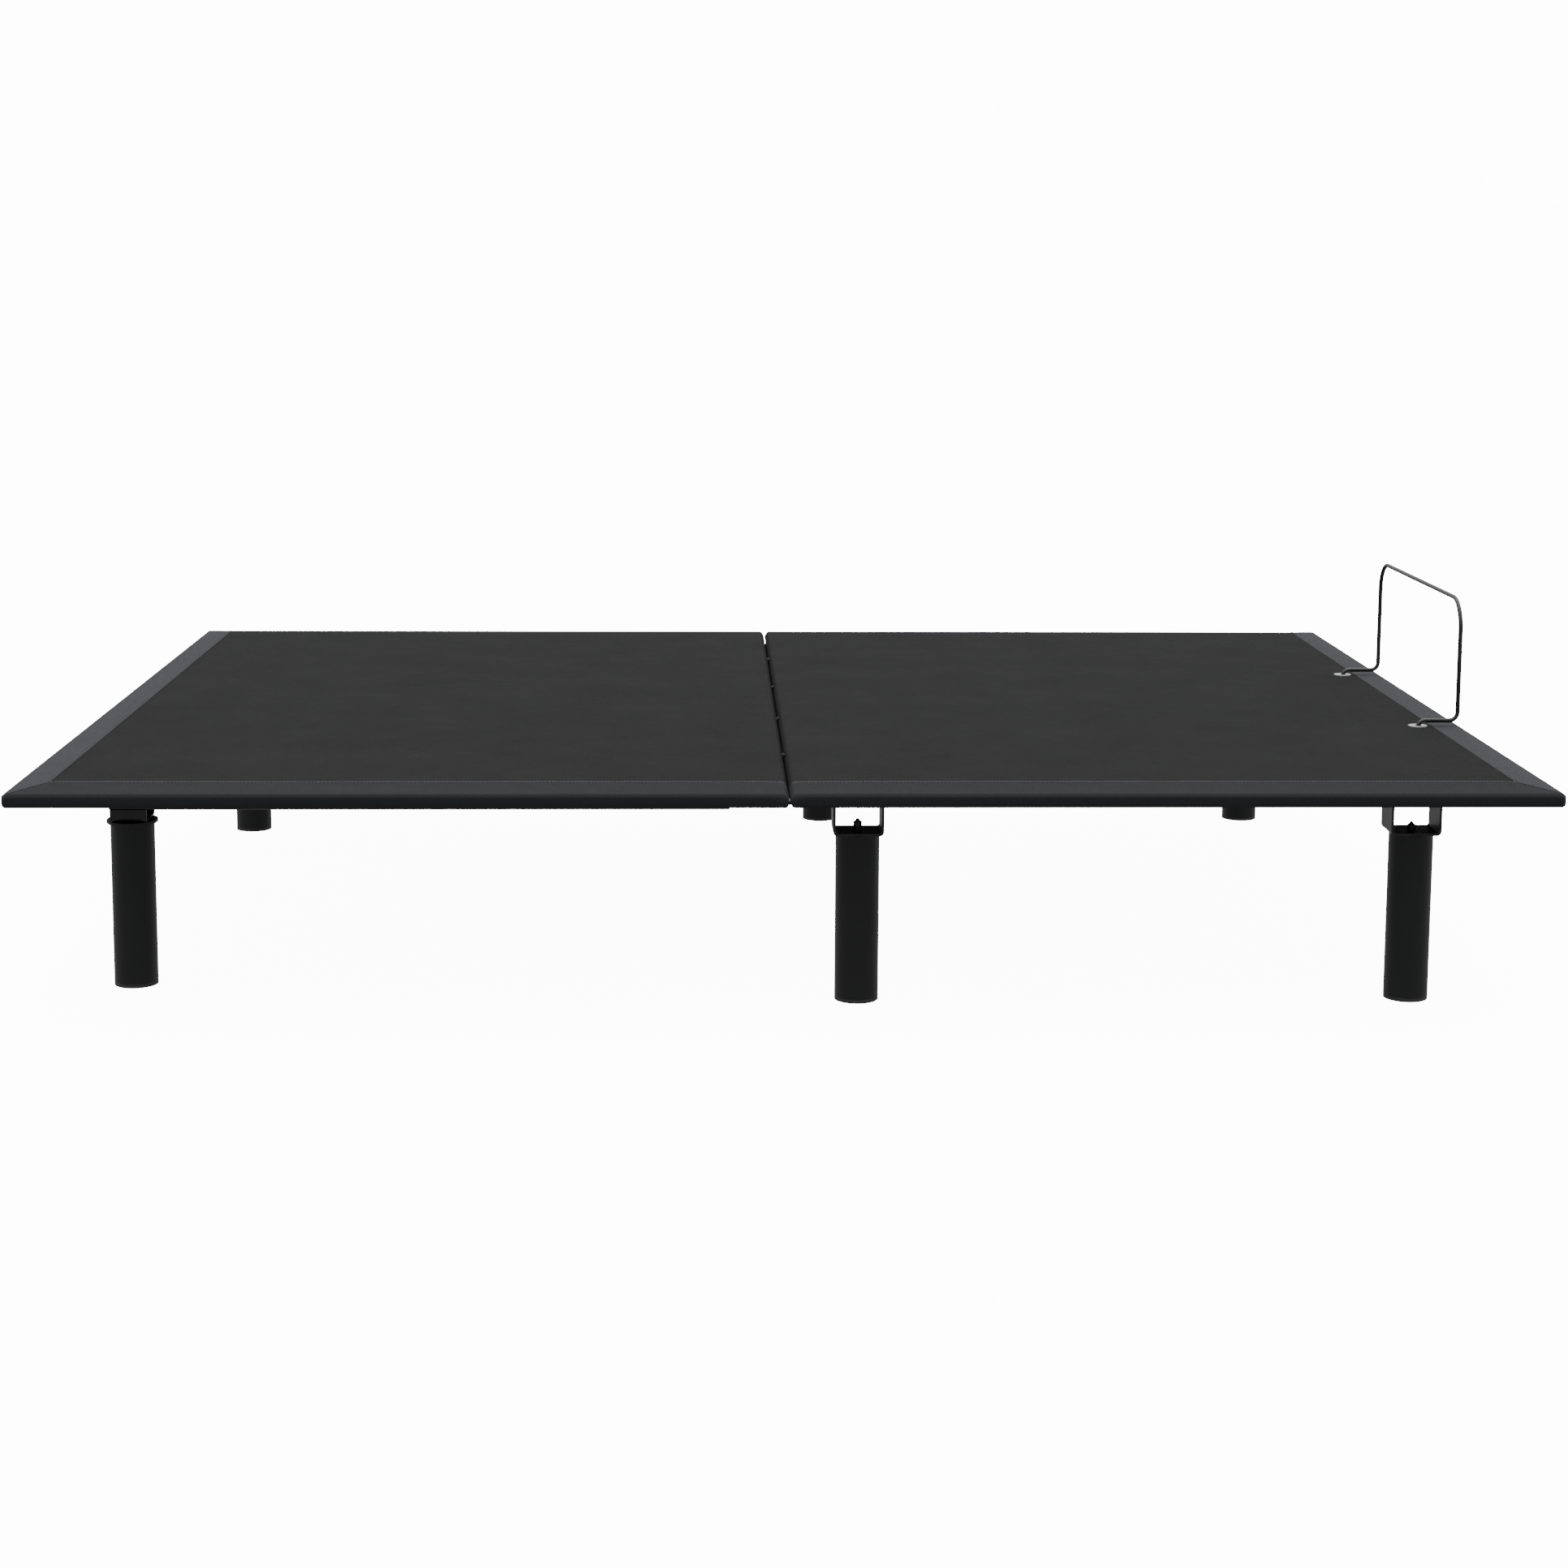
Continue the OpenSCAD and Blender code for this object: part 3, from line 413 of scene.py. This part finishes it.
def with_cuts(places, cuts):
    """The places, with lines added at the cuts in place of any others that lie too close to them."""
    clear = [p for p in places if all(abs(p - c) > CUT_CLEAR for c in cuts)]
    return sorted(clear + list(cuts))


def flat_lines(places):
    return [(p, 0, 0.0) for p in places]


def grid_lines(prefix):
    """The grid lines of one half along X, Y and Z."""
    bar_x, bar_y = [], []
    if prefix == "foot":
        hole = (-BAR_HOLE_HALF, BAR_HOLE_HALF)
        bar_x = [BAR_X + d for d in hole]
        bar_y = [y + d for y in (-BAR_Y, BAR_Y) for d in hole]
    rim = HALF - RIM_R_TOP
    inner = spread(SPLIT_X + SPLIT_R, LIP, FINE_STEP)[1:] + spread(LIP, SEAM_X - NEAR_SEAM[0], GRID_STEP)
    inner = with_cuts(inner, [POCKET_DEPTH[prefix], *bar_x]) + [SEAM_X - d for d in NEAR_SEAM]
    xs = LOW_LINES + flat_lines(inner + [SEAM_X + (rim - SEAM_X) * share for share in BORDER_SHARES])
    front = [SEAM_Y - (HALF_W - RIM_R_TOP + SEAM_Y) * share for share in BORDER_SHARES[::-1]]
    pockets = [y + d for y in HINGE_Y for d in (-POCKET_HALF, POCKET_HALF)]
    inner = with_cuts(spread(SEAM_Y + NEAR_SEAM[0], HALF_W - RIM_R_TOP, GRID_STEP), pockets + bar_y)
    ys = LOW_LINES + flat_lines(front + [SEAM_Y + d for d in NEAR_SEAM[:0:-1]] + inner)
    slot = flat_lines([SLOT_LOW, SLOT_TOP])
    return xs + HIGH_LINES, ys + HIGH_LINES, LOW_LINES + slot + HIGH_LINES


def on_line(line, low, high, radius):
    place, side, _ = line
    if side == 0:
        return place
    return low + radius if side < 0 else high - radius


def bell(distance, width):
    return math.exp(-((distance / width) ** 2))


def smooth(value):
    value = min(max(value, 0.0), 1.0)
    return value * value * (3 - 2 * value)


def ripple(x, y, size, seed):
    return noise.noise(Vector((x / size, y / size, seed)))


def mitre_distance(x, y):
    """Distance from the slanted seam between the corner of the felt and the corner of the deck."""
    run = Vector((HALF - SEAM_X, -HALF_W - SEAM_Y))
    rel = Vector((x - SEAM_X, y - SEAM_Y))
    along = max(0.0, min(1.0, rel.dot(run) / run.length_squared))
    return (rel - run * along).length


# The felt dips into the seam, puckers beside it and lies in faint broad waves: (height, width) of each
FELT_DIP = (0.7 * MM, 2.5 * MM)
FELT_PUCKER, FELT_PUCKER_SIZE = (0.2 * MM, 26 * MM), 34 * MM
FELT_WAVE = (0.3 * MM, 260 * MM)

# The border cloth has a raised hem, padding behind it, puckers, and a pulled-in mitre
HEM, HEM_SHOULDER = (0.7 * MM, 5 * MM), 1.6
PADDING = (0.45 * MM, 20 * MM)
BORDER_PUCKER = (0.3 * MM, 22 * MM)
MITRE_DIP = (0.5 * MM, 6 * MM)
MITRE_FOLD = 0.45 * MM
SPLIT_FADE = 25 * MM
FAR_OFF = 1.0


def felt_offset(x, y, to_seam, seed):
    out = -FELT_DIP[0] * bell(to_seam, FELT_DIP[1])
    out += FELT_PUCKER[0] * ripple(x, y, FELT_PUCKER_SIZE, seed + 7) * bell(to_seam, FELT_PUCKER[1])
    return out + FELT_WAVE[0] * ripple(x, y, FELT_WAVE[1], seed + 3)


def border_offset(x, y, to_seam, seed):
    past_hem = to_seam - HEM[1]
    out = HEM[0] * smooth(HEM_SHOULDER - to_seam / HEM[1])
    out += PADDING[0] * smooth(past_hem / PADDING[1])
    out += BORDER_PUCKER[0] * ripple(x, y, BORDER_PUCKER[1], seed) * bell(past_hem, BORDER_PUCKER[1])
    return out - MITRE_DIP[0] * bell(mitre_distance(x, y), MITRE_DIP[1])


def top_offset(x, y, seed):
    """How far the cloth stands off the plain slab on top, fading out towards the split."""
    beside = abs(y - SEAM_Y) if x < SEAM_X else FAR_OFF
    beyond = abs(x - SEAM_X) if y > SEAM_Y else FAR_OFF
    on_felt = x < SEAM_X and y > SEAM_Y
    offset = felt_offset if on_felt else border_offset
    return offset(x, y, min(beside, beyond), seed) * min(1.0, max(0.0, (x - SPLIT_X) / SPLIT_FADE))


def side_offset(along, z, seed):
    """Slight waves along the rims, long and short, where the cloth is pulled over the board."""
    long_wave = 0.22 * ripple(along, z, 60 * MM, seed)
    short_wave = 0.14 * ripple(along, z, 17 * MM, seed + 5)
    return (long_wave + short_wave) * MM


# How many millimetres the padded split edge swells out, by the angle above the level of the hinge axis, in
# equal steps of degrees. It makes a V whose sides lean 30 degrees from upright, so that the head half clears
# the foot half when it has tilted right up.
SPLIT_SWELL = (1.65, 1.69, 1.2, 1.13, 1.48, 2.1, 2.6, 2.8, 2.5)
SPLIT_SWELL_STEP = 11.25
LEVEL_SLACK = 0.1 * MM

# Under the axis: the swell of the halves pressed together, and at their ends, where the slot stays open
LOW_SWELL = 2.85 * MM
END_SWELL = 0.45 * MM
SLOT_END = 42 * MM
SLOT_FADE = 18 * MM


def split_swell(slope, y, z):
    """Below the axis the two halves press together, except near their ends, where the slot stays open."""
    closed = smooth((HALF_W - abs(y) - SLOT_END) / SLOT_FADE)
    low = END_SWELL + (LOW_SWELL - END_SWELL) * closed
    angle = math.degrees(math.atan2(slope.z, abs(slope.x)))
    waist = SPLIT_SWELL[0] * MM
    axis_z = DECK_TOP - SPLIT_R
    if slope.z < 0:
        swell = low * (1 - (angle / 90) ** 2)
    elif slope.z == 0 and z < axis_z - LEVEL_SLACK:
        share = smooth((z - DECK_BOTTOM - RIM_R_BOTTOM) / (SLOT_TOP - DECK_BOTTOM - RIM_R_BOTTOM))
        swell = low + (waist - low) * share
    else:
        place = min(angle / SPLIT_SWELL_STEP, len(SPLIT_SWELL) - 1.001)
        row = int(place)
        swell = (SPLIT_SWELL[row] + (SPLIT_SWELL[row + 1] - SPLIT_SWELL[row]) * (place - row)) * MM
    return swell * (1 - abs(slope.y) / (abs(slope.x) + abs(slope.y) + 1e-9))


def mixed(a, weight_a, b, weight_b):
    """The weighted mean of two radii, or the first where neither weighs anything."""
    total = weight_a + weight_b
    return (a * weight_a + b * weight_b) / total if total else a


def deck_point(lines, seed):
    """Where three grid lines meet on the cloth of the foot half."""
    slope = Vector([line[2] for line in lines])
    out = slope.normalized()
    sx, sy, sz = (abs(v) for v in slope)
    near_split = lines[0][1] < 0
    rim_r = RIM_R_TOP if lines[2][1] > 0 else RIM_R_BOTTOM
    if not near_split:
        corner_r = CORNER_R if lines[2][1] > 0 else LOW_CORNER_R
        rim_r += (corner_r - rim_r) * sx * sy
    edge_r = SPLIT_R if near_split and lines[2][1] > 0 else rim_r
    plan_r = SPLIT_PLAN_R if near_split else PLAN_R
    r_x = mixed(edge_r, sz, plan_r, sy)
    r_y = mixed(rim_r, sz, plan_r, sx)
    r_z = mixed(edge_r, sx, rim_r, sy)
    x = on_line(lines[0], SPLIT_X, HALF, r_x) + out.x * r_x
    y = on_line(lines[1], -HALF_W, HALF_W, r_y) + out.y * r_y
    z = on_line(lines[2], DECK_BOTTOM, DECK_TOP, r_z) + out.z * r_z
    lift = 0.0
    if not near_split:
        lift = side_offset(x if abs(out.y) > abs(out.x) else y, z, seed) * (1 - abs(out.z))
    if out.z > 0:
        lift += top_offset(x, y, seed) * out.z
    level = Vector((0.0 if near_split else out.x, out.y, 0.0))
    height = (2 * z - DECK_BOTTOM - DECK_TOP) / (DECK_TOP - DECK_BOTTOM)
    point = Vector((x, y, z)) + out * lift + level * (RIM_PROUD + RIM_BULGE * (1 - height ** 2))
    if near_split:
        point.x -= split_swell(slope, y, z)
    return point


class DeckHalf:
    """The cloth of one half of the deck: border wrap, felt and underside cloth, cut from one closed grid."""

    def __init__(self, prefix, mirror, seed):
        self.prefix, self.mirror, self.seed = prefix, mirror, seed
        self.xs, self.ys, self.zs = grid_lines(prefix)
        self.last = (len(self.xs) - 1, len(self.ys) - 1, len(self.zs) - 1)
        self.seam_i = [line[0] for line in self.xs].index(SEAM_X)
        self.seam_j = [line[0] for line in self.ys].index(SEAM_Y)
        self.points = {}
        self.cloth = {name: ([], [], [], {}) for name in ("wrap", "felt", "dust")}

    def at(self, corner):
        if corner not in self.points:
            i, j, k = corner
            self.points[corner] = deck_point((self.xs[i], self.ys[j], self.zs[k]), self.seed)
        return self.points[corner]

    def on_mitre(self, corner):
        i, j, k = corner
        return k == self.last[2] and self.seam_i <= i < self.last[0] and i - self.seam_i == self.seam_j - j

    def add(self, part, look, corners):
        """One face of a piece of cloth. Along the mitre the end strip is folded over the side strip."""
        verts, faces, looks, index = self.cloth[part]
        face = []
        for corner in corners:
            folded = part == "wrap" and self.on_mitre(corner)
            key = (*corner, look == END) if folded else corner
            if key not in index:
                point = self.at(corner).copy()
                if folded:
                    point.z += MITRE_FOLD if look == END else -MITRE_FOLD
                if self.mirror:
                    point.x = -point.x
                index[key] = len(verts)
                verts.append(point)
            face.append(index[key])
        faces.append(face[::-1] if self.mirror else face)
        looks.append(look)

    def is_cut(self, where, centre):
        """Cells left out for the hinge pockets and for the retainer bar's holes."""
        if any(abs(centre.y - y) < POCKET_HALF for y in HINGE_Y):
            if where == "split" and centre.z < POCKET_TOP:
                return True
            if where == "bottom" and centre.x < POCKET_DEPTH[self.prefix]:
                return True
        beside_bar = max(abs(abs(centre.y) - BAR_Y), abs(centre.x - BAR_X))
        return self.prefix == "foot" and beside_bar < BAR_HOLE_HALF and where in ("top", "bottom")

    def is_felt(self, where, centre):
        """The felt lies inside the seams, rolls over the split, and comes down over the far long edge."""
        if centre.y <= SEAM_Y:
            return False
        if where == "rear":
            return centre.x < LIP or (centre.x < SEAM_X and centre.z > MID_Z)
        if where in ("top", "bottom"):
            return centre.x < (SEAM_X if where == "top" else LIP)
        return where == "split"

    def cell(self, where, corners):
        centre = sum((self.at(c) for c in corners), Vector()) / 4
        x, y = centre.x, centre.y
        if self.is_cut(where, centre):
            return
        if self.is_felt(where, centre):
            self.add("felt", 0, corners)
        elif where == "bottom" and LIP < x < HALF - LIP and abs(y) < HALF_W - LIP:
            self.add("dust", 0, corners)
        else:
            self.add("wrap", self.wrap_look(where, corners, x, y), corners)

    # Which painted shade of the border cloth a cell gets: lighter on the ends and the upright near face, a
    # painted highlight on the hem rows, darker elsewhere
    def wrap_look(self, where, corners, x, y):
        if where == "end":
            return END
        if where == "front":
            return EDGE
        if where in ("top", "bottom") and x > SEAM_X:
            past = (x - SEAM_X) / (HALF - SEAM_X) - (SEAM_Y - y) / (HALF_W + SEAM_Y)
            if past > 0:
                return END
        first_row = self.seam_j - 1 - min(c[1] for c in corners)
        return HEM_HIGHLIGHT if where == "top" and y < SEAM_Y and first_row < HEM_ROWS else SIDE

    def build(self):
        nx, ny, nz = self.last
        for i in range(nx):
            for j in range(ny):
                a, b, c, d = (i, j, nz), (i + 1, j, nz), (i + 1, j + 1, nz), (i, j + 1, nz)
                if i >= self.seam_i and i - self.seam_i == self.seam_j - 1 - j:
                    self.add("wrap", SIDE, (a, b, d))
                    self.add("wrap", END, (b, c, d))
                else:
                    self.cell("top", (a, b, c, d))
                self.cell("bottom", ((i, j, 0), (i, j + 1, 0), (i + 1, j + 1, 0), (i + 1, j, 0)))
        for k in range(nz):
            for i in range(nx):
                self.cell("front", ((i, 0, k), (i + 1, 0, k), (i + 1, 0, k + 1), (i, 0, k + 1)))
                self.cell("rear", ((i, ny, k), (i, ny, k + 1), (i + 1, ny, k + 1), (i + 1, ny, k)))
            for j in range(ny):
                self.cell("split", ((0, j, k), (0, j, k + 1), (0, j + 1, k + 1), (0, j + 1, k)))
                self.cell("end", ((nx, j, k), (nx, j + 1, k), (nx, j + 1, k + 1), (nx, j, k + 1)))
        return self.cloth


# Places in the border cloth's list of looks: one cloth painted in lit and shaded copies
SIDE, END, HEM_HIGHLIGHT, EDGE = range(4)
BORDER_LOOKS = ["border_cloth_shaded", "border_fabric", "border_hem_highlight", "border_cloth_edge_lit"]
PARTS = {
    "wrap": ("border_cloth", BORDER_LOOKS, "border_fabric", "border_wrap"),
    "felt": ("top_felt", ["top_fabric"], "top_fabric", "top_fabric"),
    "dust": ("underside_cloth", ["dust_cover_fabric"], "dust_cover_fabric", "dust_cover"),
}


STITCH_PITCH = 5 * MM
STITCH_LENGTH = 3.6 * MM
STITCH_R = 0.35 * MM
STITCH_INSET = 3.6 * MM
STITCH_RISE = 0.15 * MM
STITCH_START = 12 * MM
STITCH_STOP = 8 * MM


def seam_stitches(prefix, mirror, body, seed):
    """Topstitching on the border cloth, a row beside each seam."""
    side_x = spread(SPLIT_X + STITCH_START, SEAM_X, STITCH_PITCH)
    end_y = spread(SEAM_Y, HALF_W - STITCH_STOP, STITCH_PITCH)
    rows = [(x, SEAM_Y - STITCH_INSET, Vector((1, 0, 0))) for x in side_x]
    rows += [(SEAM_X + STITCH_INSET, y, Vector((0, 1, 0))) for y in end_y]
    spots = []
    for x, y, direction in rows:
        z = DECK_TOP + top_offset(x, y, seed) + STITCH_RISE
        spots.append((Vector((-x if mirror else x, y, z)), direction))
    verts, faces = slivers(spots, STITCH_LENGTH, STITCH_R)
    return piece(f"{prefix}_border_stitching", verts, faces, "thread", body, "border_fabric")


for prefix, mirror, body, seed in (("foot", False, "root", 11.0), ("head", True, "head_deck", 23.0)):
    half = DeckHalf(prefix, mirror, seed).build()
    made = {}
    for part, (name, looks, slot, node) in PARTS.items():
        verts, faces, indices, _ = half[part]
        made[part] = piece(f"{prefix}_{name}", verts, faces, looks, body, slot, indices=indices)
        thicken(made[part], CLOTH_T)
        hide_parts(f"{prefix}_deck_{node}")
    stitches = seam_stitches(prefix, mirror, body, seed)


# ---------- leg studs and nuts ----------

LEGS = [f"leg_{row}_{side}" for row in ("head", "mid", "foot") for side in ("front", "rear")]
LEG_PLATE_T = 4 * MM
STRAP_T = 3.5 * MM
STUD_R = 4 * MM
THREAD_PITCH = 1.25 * MM
THREAD_DEPTH = 0.6 * MM
STUD_END_R = 2.7 * MM
STUD_NECK_SHARE = 0.3
STUD_HEAD_R = 7 * MM
STUD_HEAD_T = 5 * MM
STUD_HEAD_ROUND = 0.6 * MM
NUT_FLAT = 4.9 * MM
NUT_CORNER = NUT_FLAT / math.cos(math.pi / 6)

# Height of each leg's nut, and how far its stud's domed end stands out of it
NUT_HEIGHTS = {"head": (6 * MM, 3 * MM), "mid": (12.5 * MM, 3.4 * MM), "foot": (7.5 * MM, 4 * MM)}


def turned(rings, centre, sides, flat=None):
    """A closed form turned about an upright axis from rings of (radius, z). With flat, the rings are trimmed
    to a hexagon whose flats lie that far from the axis."""
    verts = []
    for radius, z in rings:
        for k in range(sides):
            a = 2 * math.pi * k / sides
            trim = flat / math.cos(a % (math.pi / 3) - math.pi / 6) if flat else radius
            r = min(radius, trim)
            verts.append(Vector((centre.x + r * math.cos(a), centre.y + r * math.sin(a), z)))
    faces = [tuple(range(sides))[::-1], tuple(range(len(verts) - sides, len(verts)))]
    for row in range(len(rings) - 1):
        for k in range(sides):
            m = (k + 1) % sides
            faces.append((row * sides + k, row * sides + m, (row + 1) * sides + m, (row + 1) * sides + k))
    return verts, faces


def joined(forms):
    """The points and faces of several forms as one list each."""
    verts, faces = [], []
    for form_verts, form_faces in forms:
        start = len(verts)
        verts += form_verts
        faces += [tuple(start + i for i in face) for face in form_faces]
    return verts, faces


def nut(centre, z, height):
    """A hexagon nut with both faces chamfered."""
    top = z + height
    rings = [(0.92 * NUT_CORNER, z), (NUT_CORNER, z + 0.5 * MM)]
    rings += [(NUT_CORNER, top - 0.8 * MM), (0.9 * NUT_FLAT, top)]
    return turned(rings, centre, sides=36, flat=NUT_FLAT)


def stud(centre, plate_z, nut_top, reach):
    """A stud through the leg's top plate: a round head below it, thread rings, and a narrow domed end."""
    head_z = plate_z - STUD_HEAD_T
    rings = [(STUD_HEAD_R - STUD_HEAD_ROUND, head_z), (STUD_HEAD_R, head_z + STUD_HEAD_ROUND)]
    rings += [(STUD_HEAD_R, plate_z), (STUD_R, plate_z)]
    for z in spread(plate_z + LEG_PLATE_T, nut_top, THREAD_PITCH):
        rings += [(STUD_R, z), (STUD_R - THREAD_DEPTH, z + THREAD_PITCH / 2)]
    for angle in range(0, 90, 15):
        a = math.radians(angle)
        rise = STUD_NECK_SHARE + (1 - STUD_NECK_SHARE) * math.sin(a)
        rings.append((STUD_END_R * math.cos(a), nut_top + reach * rise))
    return turned(rings, centre, sides=20)


nuts, studs = [], []
for leg in LEGS:
    low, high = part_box(leg)
    centre = (low + high) / 2
    row = leg.split("_")[1]
    height, reach = NUT_HEIGHTS[row]
    seat = (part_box("head_leg_brackets")[0].z if row == "head" else high.z) + STRAP_T
    nuts.append(nut(centre, seat, height))
    studs.append(stud(centre, high.z - LEG_PLATE_T, seat + height, reach))
nut_piece = piece("leg_hex_nuts", *joined(nuts), "blackened_steel", "root", smooth=False)
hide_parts("leg_nuts")
stud_piece = piece("leg_threaded_studs", *joined(studs), "blackened_steel", "root", smooth=False)
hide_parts("leg_studs")


# ---------- stage, lights, camera ----------

def glowing_paper(colour, glow):
    """White paper that glows evenly."""
    s = Shader("studio_paper", rough=0.95, specular=0.0)
    s.bsdf.inputs["Emission Color"].default_value = (1.0, 1.0, 1.0, 1.0)
    s.bsdf.inputs["Emission Strength"].default_value = glow
    return s.finish(s.ramp(s.noise(3.0, 2.0), tint(colour, 0.99), tint(colour, 1.01)))


FLAT_SHARE = 0.7


def bowl_profile(radius, height, steps):
    """Points of (radius, z) along a flat floor, up a sweep to half the height, and in over the top."""
    points = [(radius * share, 0.0) for share in (0.0, 0.1, 0.3, 0.6)]
    for k in range(steps + 1):
        a = math.pi / 2 * k / steps
        share = FLAT_SHARE + (1 - FLAT_SHARE) * math.sin(a)
        points.append((radius * share, height / 2 * (1 - math.cos(a))))
    for k in range(1, steps + 1):
        a = math.pi / 2 * k / steps
        points.append((radius * math.cos(a) + MM, height / 2 * (1 + math.sin(a))))
    return points


def studio_bowl(radius, height, steps=24, sides=96):
    """A round floor whose rim sweeps up and closes overhead, so that no horizon shows. Only the camera sees
    it: the world and the sun light the bed."""
    profile = bowl_profile(radius, height, steps)
    verts = [
        (r * math.cos(2 * math.pi * n / sides), r * math.sin(2 * math.pi * n / sides), z)
        for r, z in profile for n in range(sides)
    ]
    faces = []
    for row in range(len(profile) - 1):
        for n in range(sides):
            m = (n + 1) % sides
            faces.append((row * sides + n, row * sides + m, (row + 1) * sides + m, (row + 1) * sides + n))
    mesh = bpy.data.meshes.new("studio_bowl")
    mesh.from_pydata(verts, [], faces)
    mesh.materials.append(glowing_paper((0.6, 0.6, 0.6), 12.0))
    for poly in mesh.polygons:
        poly.use_smooth = True
    bowl = bpy.data.objects.new("studio_bowl", mesh)
    bpy.context.scene.collection.objects.link(bowl)
    bowl.visible_diffuse = False
    bowl.visible_glossy = False
    bowl.visible_shadow = False


studio_bowl(radius=30.0, height=30.0)


def studio_world(dim, bright):
    """A white sky, brightest overhead, behind and to the left, that fades to grey towards the floor."""
    world = bpy.data.worlds.new("studio")
    world.use_nodes = True
    nodes, links = world.node_tree.nodes, world.node_tree.links
    split = nodes.new("ShaderNodeSeparateXYZ")
    links.new(nodes.new("ShaderNodeTexCoord").outputs["Generated"], split.inputs[0])
    height = split.outputs["Z"]
    for axis, share in (("Y", 0.08), ("X", -0.04)):
        lean = nodes.new("ShaderNodeMath")
        lean.operation = "MULTIPLY_ADD"
        lean.inputs[1].default_value = share
        links.new(split.outputs[axis], lean.inputs[0])
        links.new(height, lean.inputs[2])
        height = lean.outputs[0]
    fade = nodes.new("ShaderNodeMapRange")
    fade.interpolation_type = "SMOOTHSTEP"
    fade.inputs["From Min"].default_value = 0.05
    fade.inputs["From Max"].default_value = 0.8
    fade.inputs["To Min"].default_value = dim
    fade.inputs["To Max"].default_value = bright
    links.new(height, fade.inputs["Value"])
    links.new(fade.outputs[0], nodes["Background"].inputs["Strength"])
    nodes["Background"].inputs["Color"].default_value = (1.0, 1.0, 1.0, 1.0)
    return world


bpy.context.scene.world = studio_world(dim=0.65, bright=2.5)


def soft_sun(name, energy, place, spread_angle):
    """A wide sun that shines from a place towards the origin."""
    data = bpy.data.lights.new(name, "SUN")
    data.energy = energy
    data.angle = spread_angle
    obj = bpy.data.objects.new(name, data)
    obj.location = place
    obj.rotation_mode = "QUATERNION"
    obj.rotation_quaternion = (-Vector(place)).to_track_quat("-Z", "Y")
    bpy.context.scene.collection.objects.link(obj)


soft_sun("overhead_soft", 3.0, (0.3, 0.6, 6.0), math.radians(70))

# The camera stands in front of the near long side, a little left of the middle, and looks slightly down
CAMERA_PLACE = Vector((-0.116, -4.313, 1.029))
YAW, PITCH, ROLL = (math.radians(a) for a in (1.72, 7.91, 0.32))
forward = Vector((math.sin(YAW) * math.cos(PITCH), math.cos(YAW) * math.cos(PITCH), -math.sin(PITCH)))
right = Vector((math.cos(YAW), -math.sin(YAW), 0))
up = right.cross(forward)
right_rolled = math.cos(ROLL) * right + math.sin(ROLL) * up
up_rolled = math.cos(ROLL) * up - math.sin(ROLL) * right
camera_data = bpy.data.cameras.new("camera")
camera_data.lens = 64.0
camera_data.sensor_width = 36.0
camera_data.shift_y = -0.10
camera_data.clip_end = 200.0
camera = bpy.data.objects.new("camera", camera_data)
camera.matrix_world = Matrix.Translation(CAMERA_PLACE) @ Matrix(
    [[right_rolled[r], up_rolled[r], -forward[r]] for r in range(3)]
).to_4x4()
bpy.context.scene.collection.objects.link(camera)
bpy.context.scene.camera = camera
